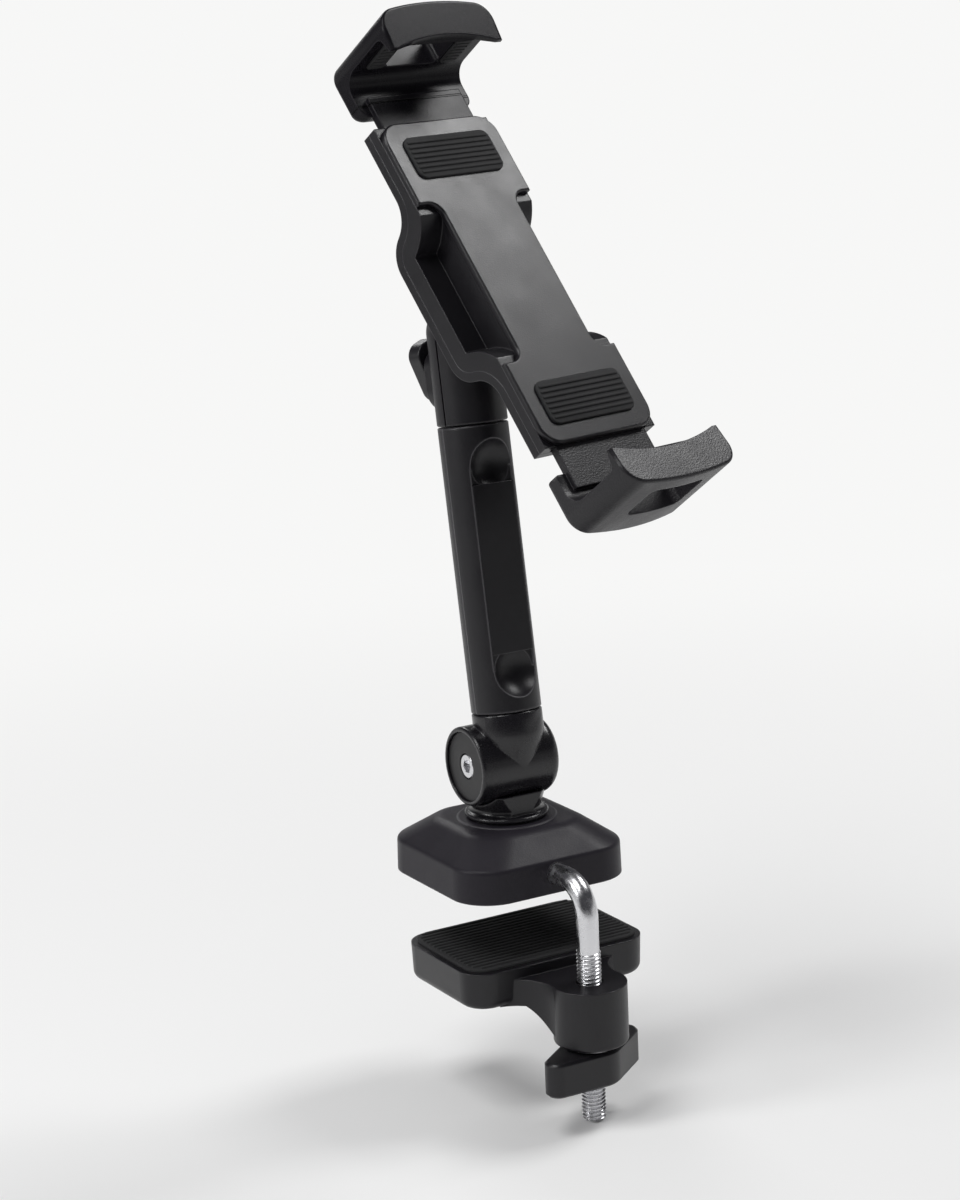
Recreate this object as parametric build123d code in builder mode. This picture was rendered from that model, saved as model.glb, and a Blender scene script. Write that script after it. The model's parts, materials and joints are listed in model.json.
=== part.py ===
from build123d import *
import os
from math import acos, atan2, cos, degrees, hypot, radians, sin, sqrt, tan

os.makedirs("parts", exist_ok=True)

# Desk-clamp holder with a rigid arm. Sizes in millimetres, angles in degrees.
# Frame: origin under the middle of the base pad, +X along the desk's edge, +Y inward over the desk, +Z up.

# Fits
press_gap = 0.02
slip_gap = 0.1
clear_gap = 0.2

# Base
base_width = 61.0
base_corner = 13.8
base_draft = 1.0
base_shoulder = 11.3
base_height = 19.0
base_top_width = 40.0
base_top_corner = 12.0
base_wall = 2.6
base_edge = 1.6
base_brow = 7.0
rim_radius = 16.2
rim_height = 0.35
pad_thickness = 1.5
pad_proud = 0.6
plate_thickness = 1.4
plate_gap = 0.15
post_pitch = 39.0
post_radius = 3.6
base_screw_radius = 1.5
base_screw_length = 8.0
base_screw_head = 2.9
ring_radius = 12.6
ring_thickness = 1.2
ring_proud = 0.4

# Hook rod
rod_radius = 3.55
thread_radius = 3.95
rod_height = 7.1
rod_standoff = 17.2
rod_bend = 10.5
rod_drop = 77.6
thread_length = 57.0
rod_inside = 19.0
rod_boss_width = 15.0
rod_boss_depth = 8.0
rod_pin_radius = 1.5
rod_pin_length = 13.0

# Clamp jaw
desk_gap = 19.0
jaw_pad_thickness = 1.6
jaw_pad_inset = 2.0
jaw_width = 67.0
jaw_depth = 47.0
jaw_thickness = 12.4
jaw_corner = 9.0
jaw_setback = 15.3
jaw_edge = 3.0
boss_radius = 12.0
boss_drop = 3.6
boss_height = 19.6
web_half = 23.0
flare_radius = 25.0
jaw_bore_gap = 0.35
washer_radius = 8.6
washer_thickness = 1.2
wing_reach = 16.6
wing_tip = 4.2
wing_hub = 9.6
wing_height = 11.4
wing_turn = 18.0
wing_gap = 0.3
insert_flats = 13.0
insert_height = 6.6
thread_gap = 0.08

# Swivel post and hinge
flange_gap = 0.3
flange_radius = 13.7
flange_height = 1.7
flange_edge = 0.5
post_foot_radius = 10.9
post_top_radius = 12.9
post_drop = 9.7
post_waist = 1.5
post_flat = 10.6
spindle_radius = 5.5
spindle_gap = 0.06
spindle_play = 0.2
swivel_boss_radius = 9.4
swivel_boss_foot = 8.4
swivel_washer_radius = 8.6
swivel_washer_thickness = 1.4
swivel_screw_radius = 2.5
swivel_screw_length = 12.0
swivel_screw_head = 4.4
swivel_head_height = 2.6
hinge_height = 38.0
barrel_radius = 13.0
barrel_length = 29.4
barrel_shift = -0.4
barrel_round = 3.6
barrel_rim = 0.9
barrel_gap = 0.4
tongue_half = 4.0
tongue_disc = 8.6
tongue_thickness = 6.4
disc_thickness = 0.8
cheek_gap = 0.4
swing_front = 14.0
swing_back = 56.0
hinge_radius = 2.5
hinge_gap = 0.06
hinge_head_radius = 4.1
hinge_head_height = 4.2
hinge_head_sink = 1.0
hinge_key = 4.0
hinge_nut_flats = 8.0
hinge_nut_height = 4.0
cap_radius = 11.4
cap_thickness = 1.6
cap_recess = 0.9

# Arm
arm_lean = 8.57
arm_offset = 5.2
arm_radius = 11.4
neck_ball = 9.8
neck_length = 16.5
arm_length = 92.85
joint_gap = 0.4
neck_edge = 0.7
arm_edge = 0.35
arm_wall = 2.6
seam_gap = 0.25
plug_length = 15.0
spigot_radius = 4.6
spigot_length = 6.5
spigot_gap = 0.1
spigot_flange = 1.2
spigot_flange_height = 1.6
spigot_play = 0.2
groove_half = 7.5
groove_floor = 7.8
panel_thickness = 0.8
panel_gap = 0.12
panel_length = 54.6
scoop_out = 14.9
scoop_inset = 14.0
arm_screw_radius = 1.3
arm_screw_head = 2.7
arm_screw_boss = 3.3
arm_screw_pitch = 24.0
arm_screw_sink = 3.2
arm_screw_height = 1.8
arm_screw_skin = 1.2

# Head
head_turn = 12.1
ball_height = 29.25
ball_radius = 7.5
ball_gap = 0.06
crown_radius = 9.6
head_seam = 0.7
stud_radius = 3.6
stud_side_gap = 0.4
tilt_high = 4.0
tilt_low = 90.0
bolt_drop = 11.0
bolt_radius = 2.0
bolt_flats = 7.0
bolt_head_height = 2.8
bolt_head_seat = 3.0
bolt_gap = 0.25
knob_seat_radius = 7.0
knob_seat = 12.4
knob_seat_drop = 6.4
knob_gap = 0.3
knob_hub_radius = 5.2
knob_hub_height = 0.6
knob_length = 20.4
knob_width = 11.6
knob_corner = 4.8
knob_edge = 0.9
knob_thickness = 5.7
knob_lean = 21.5
knob_insert_radius = 3.4
knob_insert_height = 4.4

# Cradle
stud_tilt = 61.4
cradle_turn = 2.3
cradle_width = 48.0
cradle_length = 117.0
hump_back = 12.0
end_back = 25.4
hump_half = 17.0
bend_half = 36.0
cover_thickness = 2.9
band_thickness = 9.0
stud_flange_radius = 6.2
stud_flange_height = 1.9
stud_flange_gap = 0.3
stud_thread_radius = 3.0
stud_thread_gap = 0.06
stud_washer_thickness = 1.2
stud_nut_flats = 10.0
stud_nut_height = 4.6
bar_half = 19.4
bar_thickness = 2.6
bar_gap = 0.35
tail_half = 11.6
tail_end = 7.0
tail_root = 40.5
spine_half = 15.0
spine_length = 64.0
spine_wall = 2.0
front_plate_thickness = 2.0
front_plate_corner = 7.0
waist_half = 16.0
waist_length = 58.0
waist_corner = 4.5
front_pad_width = 36.0
front_pad_length = 15.0
front_pad_thickness = 1.2
front_pad_place = 45.0
cradle_screw_radius = 1.1
cradle_screw_head = 2.0
cradle_screw_place = 47.0
brake_half = 6.0
brake_length = 12.0
brake_height = 2.4

# Claws
claw_half = 23.6
upper_foot = 64.3
lower_foot = 66.9
upper_foot_round = 4.0
lower_foot_round = 1.0
claw_back = 23.9
claw_plate = 5.6
claw_side = 84.9
claw_bow = 2.5
claw_corner = 7.0
claw_inner = 78.2
claw_front = 56.4
claw_lip = 3.6
claw_lip_root = 1.6
claw_lip_edge = 72.3
claw_arch = 3.2
claw_back_round = 2.2
claw_front_round = 1.0
claw_inner_round = 6.0
claw_lip_round = 2.5
port_width = 23.0
port_height = 15.0
port_middle = 43.0
port_round = 2.6
lining_thickness = 1.0
lining_width = 38.0
lining_height = 13.2
lining_middle = 42.4


def within(frame, plane):
    """A plane that is given in a frame's own coordinates."""
    return Plane(frame.location * plane.location)


# Derived places
plate_foot = pad_thickness
plate_top = pad_thickness + plate_thickness
front_face = -base_width / 2
rod_y = front_face - rod_standoff
rod_foot = rod_height - rod_drop
rod_pin_y = front_face + base_wall + rod_boss_depth / 2
jaw_top = -desk_gap - jaw_pad_thickness
jaw_foot = jaw_top - jaw_thickness
jaw_front = rod_y + jaw_setback
boss_top = jaw_top - boss_drop
boss_foot = boss_top - boss_height
washer_foot = boss_foot - washer_thickness
wing_top = washer_foot - wing_gap
wing_foot = wing_top - wing_height
flange_foot = base_height + ring_proud + flange_gap
flange_top = flange_foot + flange_height
shoulder_width = base_width - 2 * (base_shoulder - pad_proud) * tan(radians(base_draft))
cavity_width = shoulder_width - 2 * base_wall
cavity_corner = base_corner - base_wall
hollow_top = base_top_width - 2 * base_wall

arm_frame = Plane(Location((0, 0, hinge_height), (-arm_lean, 0, 0)))
shaft_frame = Plane(arm_frame.location * Location((0, -arm_offset, neck_length)))
head_frame = Plane(shaft_frame.location * Location((0, 0, arm_length), (0, 0, head_turn)))
pivot_frame = Plane(head_frame.location * Location((0, 0, ball_height), (stud_tilt, 0, 0)))
cradle_frame = Plane(pivot_frame.location * Location((0, 0, 0), (0, 0, cradle_turn)))
lower_frame = Plane(cradle_frame.location * Location((0, 0, 0), (0, 0, 180)))
low = (Align.CENTER, Align.CENTER, Align.MIN)
high = (Align.CENTER, Align.CENTER, Align.MAX)


# The hollow under the base housing, with its bosses left standing
with BuildPart() as base_hollow:
    with BuildSketch(Plane.XY.offset(pad_proud)):
        RectangleRounded(cavity_width, cavity_width, cavity_corner)
    with BuildSketch(Plane.XY.offset(base_shoulder - 1)):
        RectangleRounded(cavity_width, cavity_width, cavity_corner)
    with BuildSketch(Plane.XY.offset(base_height - base_wall)):
        RectangleRounded(hollow_top, hollow_top, base_top_corner - base_wall)
    loft(ruled=True)
    with Locations((0, 0, swivel_boss_foot)):
        Cylinder(swivel_boss_radius, base_height, align=low, mode=Mode.SUBTRACT)
    with Locations((0, front_face, plate_top)):
        Box(rod_boss_width, base_wall + rod_boss_depth, base_height, align=(Align.CENTER, Align.MIN,
                                                                            Align.MIN),
            mode=Mode.SUBTRACT)
    with Locations(Pos(0, 0, plate_top)):
        with GridLocations(post_pitch, post_pitch, 2, 2):
            Cylinder(post_radius, base_height, align=low, mode=Mode.SUBTRACT)

# Base housing: upright wall and sloping top
with BuildPart() as base_housing:
    with BuildSketch(Plane.XY.offset(pad_proud)):
        RectangleRounded(base_width, base_width, base_corner)
    with BuildSketch(Plane.XY.offset(base_shoulder)):
        RectangleRounded(shoulder_width, shoulder_width, base_corner)
    with BuildSketch(Plane.XY.offset(base_height)):
        RectangleRounded(base_top_width, base_top_width, base_top_corner)
    loft(ruled=True)
    shoulder_edges = base_housing.edges().filter_by_position(Axis.Z, base_shoulder - 0.01,
                                                             base_shoulder + 0.01)
    fillet(base_housing.edges().group_by(Axis.Z)[-1], base_brow)
    fillet(shoulder_edges, base_edge)
    with Locations((0, 0, base_height)):
        Cylinder(rim_radius, 2 * rim_height)
    chamfer(base_housing.edges().group_by(Axis.Z)[-1], rim_height / 2)
    add(base_hollow.part, mode=Mode.SUBTRACT)
    with Locations((0, 0, swivel_boss_foot)):
        Cylinder(spindle_radius + spindle_gap, base_height, align=low, mode=Mode.SUBTRACT)
    with Locations((0, 0, base_height)):
        Cylinder(ring_radius + slip_gap, 2 * (ring_thickness - ring_proud), mode=Mode.SUBTRACT)
    with Locations((0, front_face, rod_height)):
        Cylinder(rod_radius + press_gap, 4 * (rod_boss_depth + base_wall), rotation=(90, 0, 0),
                 mode=Mode.SUBTRACT)
    with Locations((0, rod_pin_y, rod_height)):
        Cylinder(rod_pin_radius, rod_pin_length + slip_gap, rotation=(0, 90, 0), mode=Mode.SUBTRACT)
    with Locations(Pos(0, 0, plate_top)):
        with GridLocations(post_pitch, post_pitch, 2, 2):
            Cylinder(base_screw_radius, base_screw_length - plate_thickness, align=low, mode=Mode.SUBTRACT)

with BuildPart() as base_plate:
    with BuildSketch(Plane.XY.offset(plate_foot)):
        RectangleRounded(cavity_width - 2 * plate_gap, cavity_width - 2 * plate_gap,
                         cavity_corner - plate_gap)
    extrude(amount=plate_thickness)
    with Locations(Pos(0, 0, plate_foot)):
        with GridLocations(post_pitch, post_pitch, 2, 2):
            Cylinder(base_screw_radius + clear_gap, plate_thickness, align=low, mode=Mode.SUBTRACT)
            Cone(base_screw_head + slip_gap, base_screw_radius + clear_gap, 0.8 * plate_thickness,
                 align=low,
                 mode=Mode.SUBTRACT)

with BuildPart() as base_pad:
    with BuildSketch(Plane.XY):
        RectangleRounded(cavity_width - 2 * plate_gap, cavity_width - 2 * plate_gap,
                         cavity_corner - plate_gap)
    extrude(amount=pad_thickness)
    chamfer(base_pad.edges().group_by(Axis.Z)[0], 0.4)

with BuildPart() as base_screws:
    with Locations(Pos(0, 0, plate_foot)):
        with GridLocations(post_pitch, post_pitch, 2, 2):
            Cylinder(base_screw_radius - press_gap, base_screw_length - 0.3, align=low)
            Cone(base_screw_head, base_screw_radius, 0.8 * plate_thickness - slip_gap, align=low)

with BuildPart() as friction_ring:
    with Locations((0, 0, base_height + ring_proud)):
        Cylinder(ring_radius, ring_thickness, align=high)
        Cylinder(spindle_radius + 0.6, ring_thickness, align=high, mode=Mode.SUBTRACT)

# Hook rod: out of the front face, one bend, then down
with BuildPart() as hook_rod:
    with BuildLine(Plane.YZ) as rod_path:
        Line((front_face + rod_inside, rod_height), (rod_y + rod_bend, rod_height))
        CenterArc((rod_y + rod_bend, rod_height - rod_bend), rod_bend, 90, 90)
        Line((rod_y, rod_height - rod_bend), (rod_y, rod_foot + thread_length))
    with BuildSketch(Plane(rod_path.wires()[0] @ 0, z_dir=rod_path.wires()[0] % 0)):
        Circle(rod_radius)
    sweep(path=rod_path.wires()[0])
    with Locations((0, rod_y, rod_foot)):
        Cylinder(thread_radius, thread_length, align=low)
    with Locations((0, rod_pin_y, rod_height)):
        Cylinder(rod_pin_radius, 4 * rod_radius, rotation=(0, 90, 0), mode=Mode.SUBTRACT)
    chamfer(hook_rod.edges().group_by(Axis.Z)[0], 0.9)
    thread_top = rod_foot + thread_length
    top_edges = hook_rod.edges().filter_by(GeomType.CIRCLE).filter_by_position(
        Axis.Z, thread_top - 0.05, thread_top + 0.05)
    chamfer(top_edges.sort_by(SortBy.RADIUS)[-1], thread_radius - rod_radius - 0.05)

with BuildPart() as rod_pin:
    with Locations((0, rod_pin_y, rod_height)):
        Cylinder(rod_pin_radius - press_gap, rod_pin_length, rotation=(0, 90, 0))

# The curved gusset under the clamp jaw, kept to the web's outline
with BuildPart() as jaw_flare:
    with BuildSketch(Plane.XZ.offset(-rod_y)):
        with BuildLine():
            ThreePointArc((boss_radius - 0.5, boss_foot + 2),
                          (boss_radius + 0.28 * (flare_radius - boss_radius),
                           jaw_foot - 0.42 * (jaw_foot - boss_foot - 2)),
                          (flare_radius, jaw_foot + 2))
            Line((flare_radius, jaw_foot + 2), (0.5, jaw_foot + 2))
            Line((0.5, jaw_foot + 2), (0.5, boss_foot + 2))
            Line((0.5, boss_foot + 2), (boss_radius - 0.5, boss_foot + 2))
        make_face()
    revolve(axis=Axis((0, rod_y, 0), (0, 0, 1)), revolution_arc=180)
    with BuildSketch(Plane.XY.offset(boss_foot - 1)):
        with BuildLine():
            ThreePointArc((-boss_radius, rod_y), (-0.62 * web_half, jaw_front - 4), (-web_half,
                                                                                     jaw_front + 2))
            Line((-web_half, jaw_front + 2), (-web_half, jaw_front + flare_radius))
            Line((-web_half, jaw_front + flare_radius), (web_half, jaw_front + flare_radius))
            Line((web_half, jaw_front + flare_radius), (web_half, jaw_front + 2))
            ThreePointArc((web_half, jaw_front + 2), (0.62 * web_half, jaw_front - 4), (boss_radius, rod_y))
            Line((boss_radius, rod_y), (-boss_radius, rod_y))
        make_face()
    extrude(amount=4 * boss_height, mode=Mode.INTERSECT)

# Clamp jaw: plate under the desk with a boss on the rod
with BuildPart() as clamp_jaw:
    with BuildSketch(Plane.XY.offset(jaw_top)):
        with Locations((0, jaw_front + jaw_depth / 2)):
            RectangleRounded(jaw_width, jaw_depth, jaw_corner)
    extrude(amount=-jaw_thickness, taper=2)
    fillet(clamp_jaw.edges().group_by(Axis.Z)[0], jaw_edge)
    with BuildSketch(Plane.XY.offset(boss_top)):
        with BuildLine():
            ThreePointArc((-boss_radius, rod_y), (-0.62 * web_half, jaw_front - 4), (-web_half,
                                                                                     jaw_front + 2))
            Line((-web_half, jaw_front + 2), (web_half, jaw_front + 2))
            ThreePointArc((web_half, jaw_front + 2), (0.62 * web_half, jaw_front - 4), (boss_radius, rod_y))
            Line((boss_radius, rod_y), (-boss_radius, rod_y))
        make_face()
    extrude(amount=-(boss_top - jaw_foot))
    add(jaw_flare.part)
    with Locations((0, rod_y, boss_foot)):
        Cylinder(boss_radius, boss_height, align=low)
    fillet(clamp_jaw.edges().filter_by(GeomType.CIRCLE).group_by(Axis.Z)[0], 1.2)
    with Locations((0, rod_y, boss_foot)):
        Cylinder(thread_radius + jaw_bore_gap, 3 * boss_height, mode=Mode.SUBTRACT)

with BuildPart() as jaw_pad:
    with BuildSketch(Plane.XY.offset(jaw_top)):
        with Locations((0, jaw_front + jaw_depth / 2)):
            RectangleRounded(jaw_width - 2 * jaw_pad_inset, jaw_depth - 2 * jaw_pad_inset,
                             jaw_corner - jaw_pad_inset)
    extrude(amount=jaw_pad_thickness)

with BuildPart() as thrust_washer:
    with Locations((0, rod_y, boss_foot)):
        Cylinder(washer_radius, washer_thickness, align=high)
        Cylinder(thread_radius + jaw_bore_gap, washer_thickness, align=high, mode=Mode.SUBTRACT)

# Wing nut: two tapered wings on a hub, with a hexagonal insert
wing_frame = Plane(Location((0, rod_y, wing_foot), (0, 0, wing_turn)))
with BuildPart(wing_frame) as wing_nut:
    with BuildSketch(wing_frame):
        Circle(wing_hub)
        with Locations((-wing_reach, 0), (wing_reach, 0)):
            Circle(wing_tip)
        make_hull()
    extrude(amount=wing_height)
    chamfer(wing_nut.edges().group_by(Axis.Z)[-1] + wing_nut.edges().group_by(Axis.Z)[0], 0.8)
    with BuildSketch(wing_frame):
        RegularPolygon(insert_flats / 2, 6, major_radius=False)
    extrude(amount=insert_height, mode=Mode.SUBTRACT)
    Cylinder(thread_radius + jaw_bore_gap, 3 * wing_height, mode=Mode.SUBTRACT)

with BuildPart(wing_frame) as wing_insert:
    with BuildSketch(wing_frame):
        RegularPolygon(insert_flats / 2, 6, major_radius=False)
        Circle(thread_radius + thread_gap, mode=Mode.SUBTRACT)
    extrude(amount=insert_height)

# Swivel post: flange, flared body with two flats, tongue up into the barrel, spindle down into the base
with BuildPart() as swivel_post:
    with BuildSketch(Plane.XZ):
        with BuildLine():
            Polyline((0, flange_foot), (flange_radius, flange_foot), (flange_radius, flange_top),
                     (post_foot_radius, flange_top), (post_top_radius, hinge_height - post_drop),
                     (0, hinge_height - post_drop), close=True)
        body = make_face()
        fillet(body.vertices().sort_by_distance((post_foot_radius, flange_top, 0))[0], post_waist)
    revolve(axis=Axis.Z)
    chamfer(swivel_post.edges().filter_by(GeomType.CIRCLE).sort_by(SortBy.RADIUS)[-2:], flange_edge)
    with Locations((0, -post_flat, flange_top)):
        Box(4 * flange_radius, flange_radius, hinge_height, align=(Align.CENTER, Align.MAX, Align.MIN),
            mode=Mode.SUBTRACT)
    with Locations((0, post_flat, flange_top)):
        Box(4 * flange_radius, flange_radius, hinge_height, align=(Align.CENTER, Align.MIN, Align.MIN),
            mode=Mode.SUBTRACT)
    with Locations((0, 0, hinge_height)):
        Cylinder(barrel_radius + barrel_gap, 2 * barrel_length, rotation=(0, 90, 0), mode=Mode.SUBTRACT)
        Cylinder(tongue_disc, tongue_thickness, rotation=(0, 90, 0))
        Box(tongue_thickness, 2 * tongue_half, barrel_radius + post_waist, align=high)
        Cylinder(hinge_radius + hinge_gap, 2 * barrel_length, rotation=(0, 90, 0), mode=Mode.SUBTRACT)
    with Locations((0, 0, swivel_boss_foot - spindle_play)):
        Cylinder(spindle_radius, flange_foot - swivel_boss_foot + spindle_play + 0.5, align=low)
        Cylinder(swivel_screw_radius, swivel_screw_length, align=low, mode=Mode.SUBTRACT)

with BuildPart() as swivel_washer:
    with Locations((0, 0, swivel_boss_foot - spindle_play)):
        Cylinder(swivel_washer_radius, swivel_washer_thickness, align=high)
        Cylinder(swivel_screw_radius + clear_gap, swivel_washer_thickness, align=high, mode=Mode.SUBTRACT)

with BuildPart() as swivel_screw:
    with Locations((0, 0, swivel_boss_foot - spindle_play - swivel_washer_thickness)):
        Cylinder(swivel_screw_radius - press_gap, swivel_screw_length, align=low)
        Cylinder(swivel_screw_head, swivel_head_height, align=high)

# Knuckle: barrel on the hinge axis, neck up to the arm, spigot inside the arm
cheek = tongue_thickness / 2 + disc_thickness + cheek_gap
slot_half = tongue_half + barrel_gap
slot_reach = 4 * barrel_radius
barrel_left = barrel_shift - barrel_length / 2
head_foot = barrel_left + hinge_head_sink + hinge_head_height
nut_end = cheek + hinge_nut_height
front_sin = sin(radians(swing_front))
front_cos = cos(radians(swing_front))
back_sin = sin(radians(swing_back))
back_cos = cos(radians(swing_back))
with BuildPart(arm_frame) as knuckle:
    with Locations((barrel_shift, 0, 0)):
        Cylinder(barrel_radius, barrel_length, rotation=(0, 90, 0))
    fillet(knuckle.edges().filter_by(GeomType.CIRCLE).sort_by(Axis.X)[-1], barrel_round)
    fillet(knuckle.edges().filter_by(GeomType.CIRCLE).sort_by(Axis.X)[0], barrel_rim)
    with Locations((0, -arm_offset, neck_ball)):
        Sphere(arm_radius, arc_size2=0)
        Cylinder(arm_radius, neck_length - neck_ball, align=low)
    fillet(knuckle.edges().filter_by(GeomType.CIRCLE).sort_by(Axis.Z)[-1], neck_edge)
    with Locations((0, -arm_offset, neck_length)):
        Cylinder(spigot_radius, spigot_length, align=low)
    with BuildSketch(within(arm_frame, Plane.YZ)):
        with BuildLine():
            Polyline((-slot_half * front_cos, slot_half * front_sin),
                     (-slot_half * front_cos - slot_reach * front_sin,
                      slot_half * front_sin - slot_reach * front_cos),
                     (slot_half * back_cos + slot_reach * back_sin,
                      slot_half * back_sin - slot_reach * back_cos),
                     (slot_half * back_cos, slot_half * back_sin), close=True)
        make_face()
        Circle(tongue_disc + barrel_gap)
    extrude(amount=cheek, both=True, mode=Mode.SUBTRACT)
    with Locations((barrel_left, 0, 0)):
        Cylinder(hinge_radius + press_gap, nut_end - barrel_left + 1, rotation=(0, 90, 0), align=low,
                 mode=Mode.SUBTRACT)
        Cylinder(cap_radius + slip_gap, 2 * (cap_thickness + cap_recess), rotation=(0, 90, 0),
                 mode=Mode.SUBTRACT)
        Cylinder(hinge_head_radius + slip_gap, 2 * (head_foot - barrel_left), rotation=(0, 90, 0),
                 mode=Mode.SUBTRACT)
    with BuildSketch(within(arm_frame, Plane.YZ.offset(cheek - 0.01))):
        RegularPolygon(hinge_nut_flats / 2 + press_gap, 6, major_radius=False)
    extrude(amount=hinge_nut_height, mode=Mode.SUBTRACT)

with BuildPart(arm_frame) as knuckle_cap:
    with Locations((barrel_left + cap_recess, 0, 0)):
        Cylinder(cap_radius, cap_thickness, rotation=(0, 90, 0), align=low)
        Cylinder(hinge_head_radius + clear_gap, 4 * cap_thickness, rotation=(0, 90, 0), mode=Mode.SUBTRACT)

with BuildPart(arm_frame) as hinge_screw:
    with Locations((head_foot, 0, 0)):
        Cylinder(hinge_head_radius, hinge_head_height, rotation=(0, 90, 0), align=high)
    chamfer(hinge_screw.edges().filter_by(GeomType.CIRCLE).sort_by(Axis.X)[0], 4 * slip_gap)
    with Locations((head_foot, 0, 0)):
        Cylinder(hinge_radius, nut_end - head_foot - clear_gap, rotation=(0, 90, 0), align=low)
    with BuildSketch(within(arm_frame, Plane.YZ.offset(head_foot - hinge_head_height))):
        RegularPolygon(hinge_key / 2, 6, major_radius=False)
    extrude(amount=0.6 * hinge_head_height, mode=Mode.SUBTRACT)

with BuildPart(arm_frame) as hinge_nut:
    with BuildSketch(within(arm_frame, Plane.YZ.offset(cheek))):
        RegularPolygon(hinge_nut_flats / 2, 6, major_radius=False)
        Circle(hinge_radius + press_gap, mode=Mode.SUBTRACT)
    extrude(amount=hinge_nut_height - press_gap)

with BuildPart(arm_frame) as friction_discs:
    with Locations((cheek - disc_thickness / 2, 0, 0), (-cheek + disc_thickness / 2, 0, 0)):
        Cylinder(tongue_disc, disc_thickness, rotation=(0, 90, 0))
        Cylinder(hinge_radius + slip_gap, 2 * disc_thickness, rotation=(0, 90, 0), mode=Mode.SUBTRACT)


# Arm shells: a round arm cut in two along its seam, with end bores for the spigots and a hollow middle
scoop_radius = hypot(groove_half, scoop_out - sqrt(arm_radius ** 2 - groove_half ** 2))
screw_heights = [arm_length / 2 - arm_screw_pitch, arm_length / 2, arm_length / 2 + arm_screw_pitch]


def arm_half(front):
    side = -1 if front else 1
    with BuildPart(shaft_frame) as half:
        with Locations((0, 0, joint_gap / 2)):
            Cylinder(arm_radius, arm_length - joint_gap, align=low)
        chamfer(half.edges().filter_by(GeomType.CIRCLE), arm_edge)
        Cylinder(spigot_radius + press_gap, spigot_length + slip_gap, align=low, mode=Mode.SUBTRACT)
        with Locations((0, 0, arm_length)):
            Cylinder(spigot_radius + spigot_gap, spigot_length, align=high, mode=Mode.SUBTRACT)
        with Locations((0, 0, arm_length - spigot_length)):
            Cylinder(spigot_radius + spigot_flange + spigot_gap, spigot_flange_height + 3 * spigot_play,
                     align=high, mode=Mode.SUBTRACT)
        with BuildSketch(within(shaft_frame, Plane.XY.offset(plug_length))):
            Circle(arm_radius - arm_wall)
            with Locations((0, -arm_radius / 3)):
                Rectangle(3 * arm_radius, 3 * arm_radius, align=(Align.CENTER, Align.MIN),
                          mode=Mode.INTERSECT)
        extrude(amount=arm_length - 2 * plug_length, mode=Mode.SUBTRACT)
        with Locations(*[(0, 0, height) for height in screw_heights]):
            Cylinder(arm_screw_boss, 2 * (arm_radius - arm_wall / 2), rotation=(90, 0, 0))
        with Locations((0, -groove_floor, scoop_inset)):
            Box(2 * groove_half, arm_radius, arm_length - 2 * scoop_inset,
                align=(Align.CENTER, Align.MAX, Align.MIN), mode=Mode.SUBTRACT)
        with Locations((0, -scoop_out, scoop_inset), (0, -scoop_out, arm_length - scoop_inset)):
            Sphere(scoop_radius, mode=Mode.SUBTRACT)
        with Locations(*[(0, -groove_floor + arm_screw_skin, height) for height in screw_heights]):
            Cylinder(arm_screw_radius, 2 * arm_radius, rotation=(-90, 0, 0), align=low, mode=Mode.SUBTRACT)
        with Locations(*[(0, arm_radius - arm_screw_sink, height) for height in screw_heights]):
            Cylinder(arm_screw_head + slip_gap, arm_radius, rotation=(-90, 0, 0), align=low,
                     mode=Mode.SUBTRACT)
        split(bisect_by=within(shaft_frame, Plane.XZ.offset(-side * seam_gap / 2)),
              keep=Keep.TOP if front else Keep.BOTTOM)
    return half


arm_front_shell = arm_half(True)
arm_rear_shell = arm_half(False)

with BuildPart(shaft_frame) as arm_panel:
    with Locations((0, -groove_floor, arm_length / 2)):
        Box(2 * (groove_half - panel_gap), panel_thickness, panel_length,
            align=(Align.CENTER, Align.MAX, Align.CENTER))

arm_screw_length = arm_radius - arm_screw_sink + groove_floor - arm_screw_skin - clear_gap
with BuildPart(shaft_frame) as arm_screws:
    with Locations(*[(0, arm_radius - arm_screw_sink, height) for height in screw_heights]):
        Cylinder(arm_screw_radius - press_gap, arm_screw_length, rotation=(90, 0, 0), align=low)
        Cylinder(arm_screw_head, arm_screw_height, rotation=(-90, 0, 0), align=low)


# Head shells: a ball clamp in two halves that turn together on the arm's top
bolt_height = ball_height - bolt_drop
slot_width = stud_radius + stud_side_gap
head_reach = 3.5 * arm_radius
crown_spread = degrees(acos(crown_radius / arm_radius))
high_sin = sin(radians(tilt_high))
high_cos = cos(radians(tilt_high))
low_sin = sin(radians(tilt_low))
low_cos = cos(radians(tilt_low))


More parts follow.
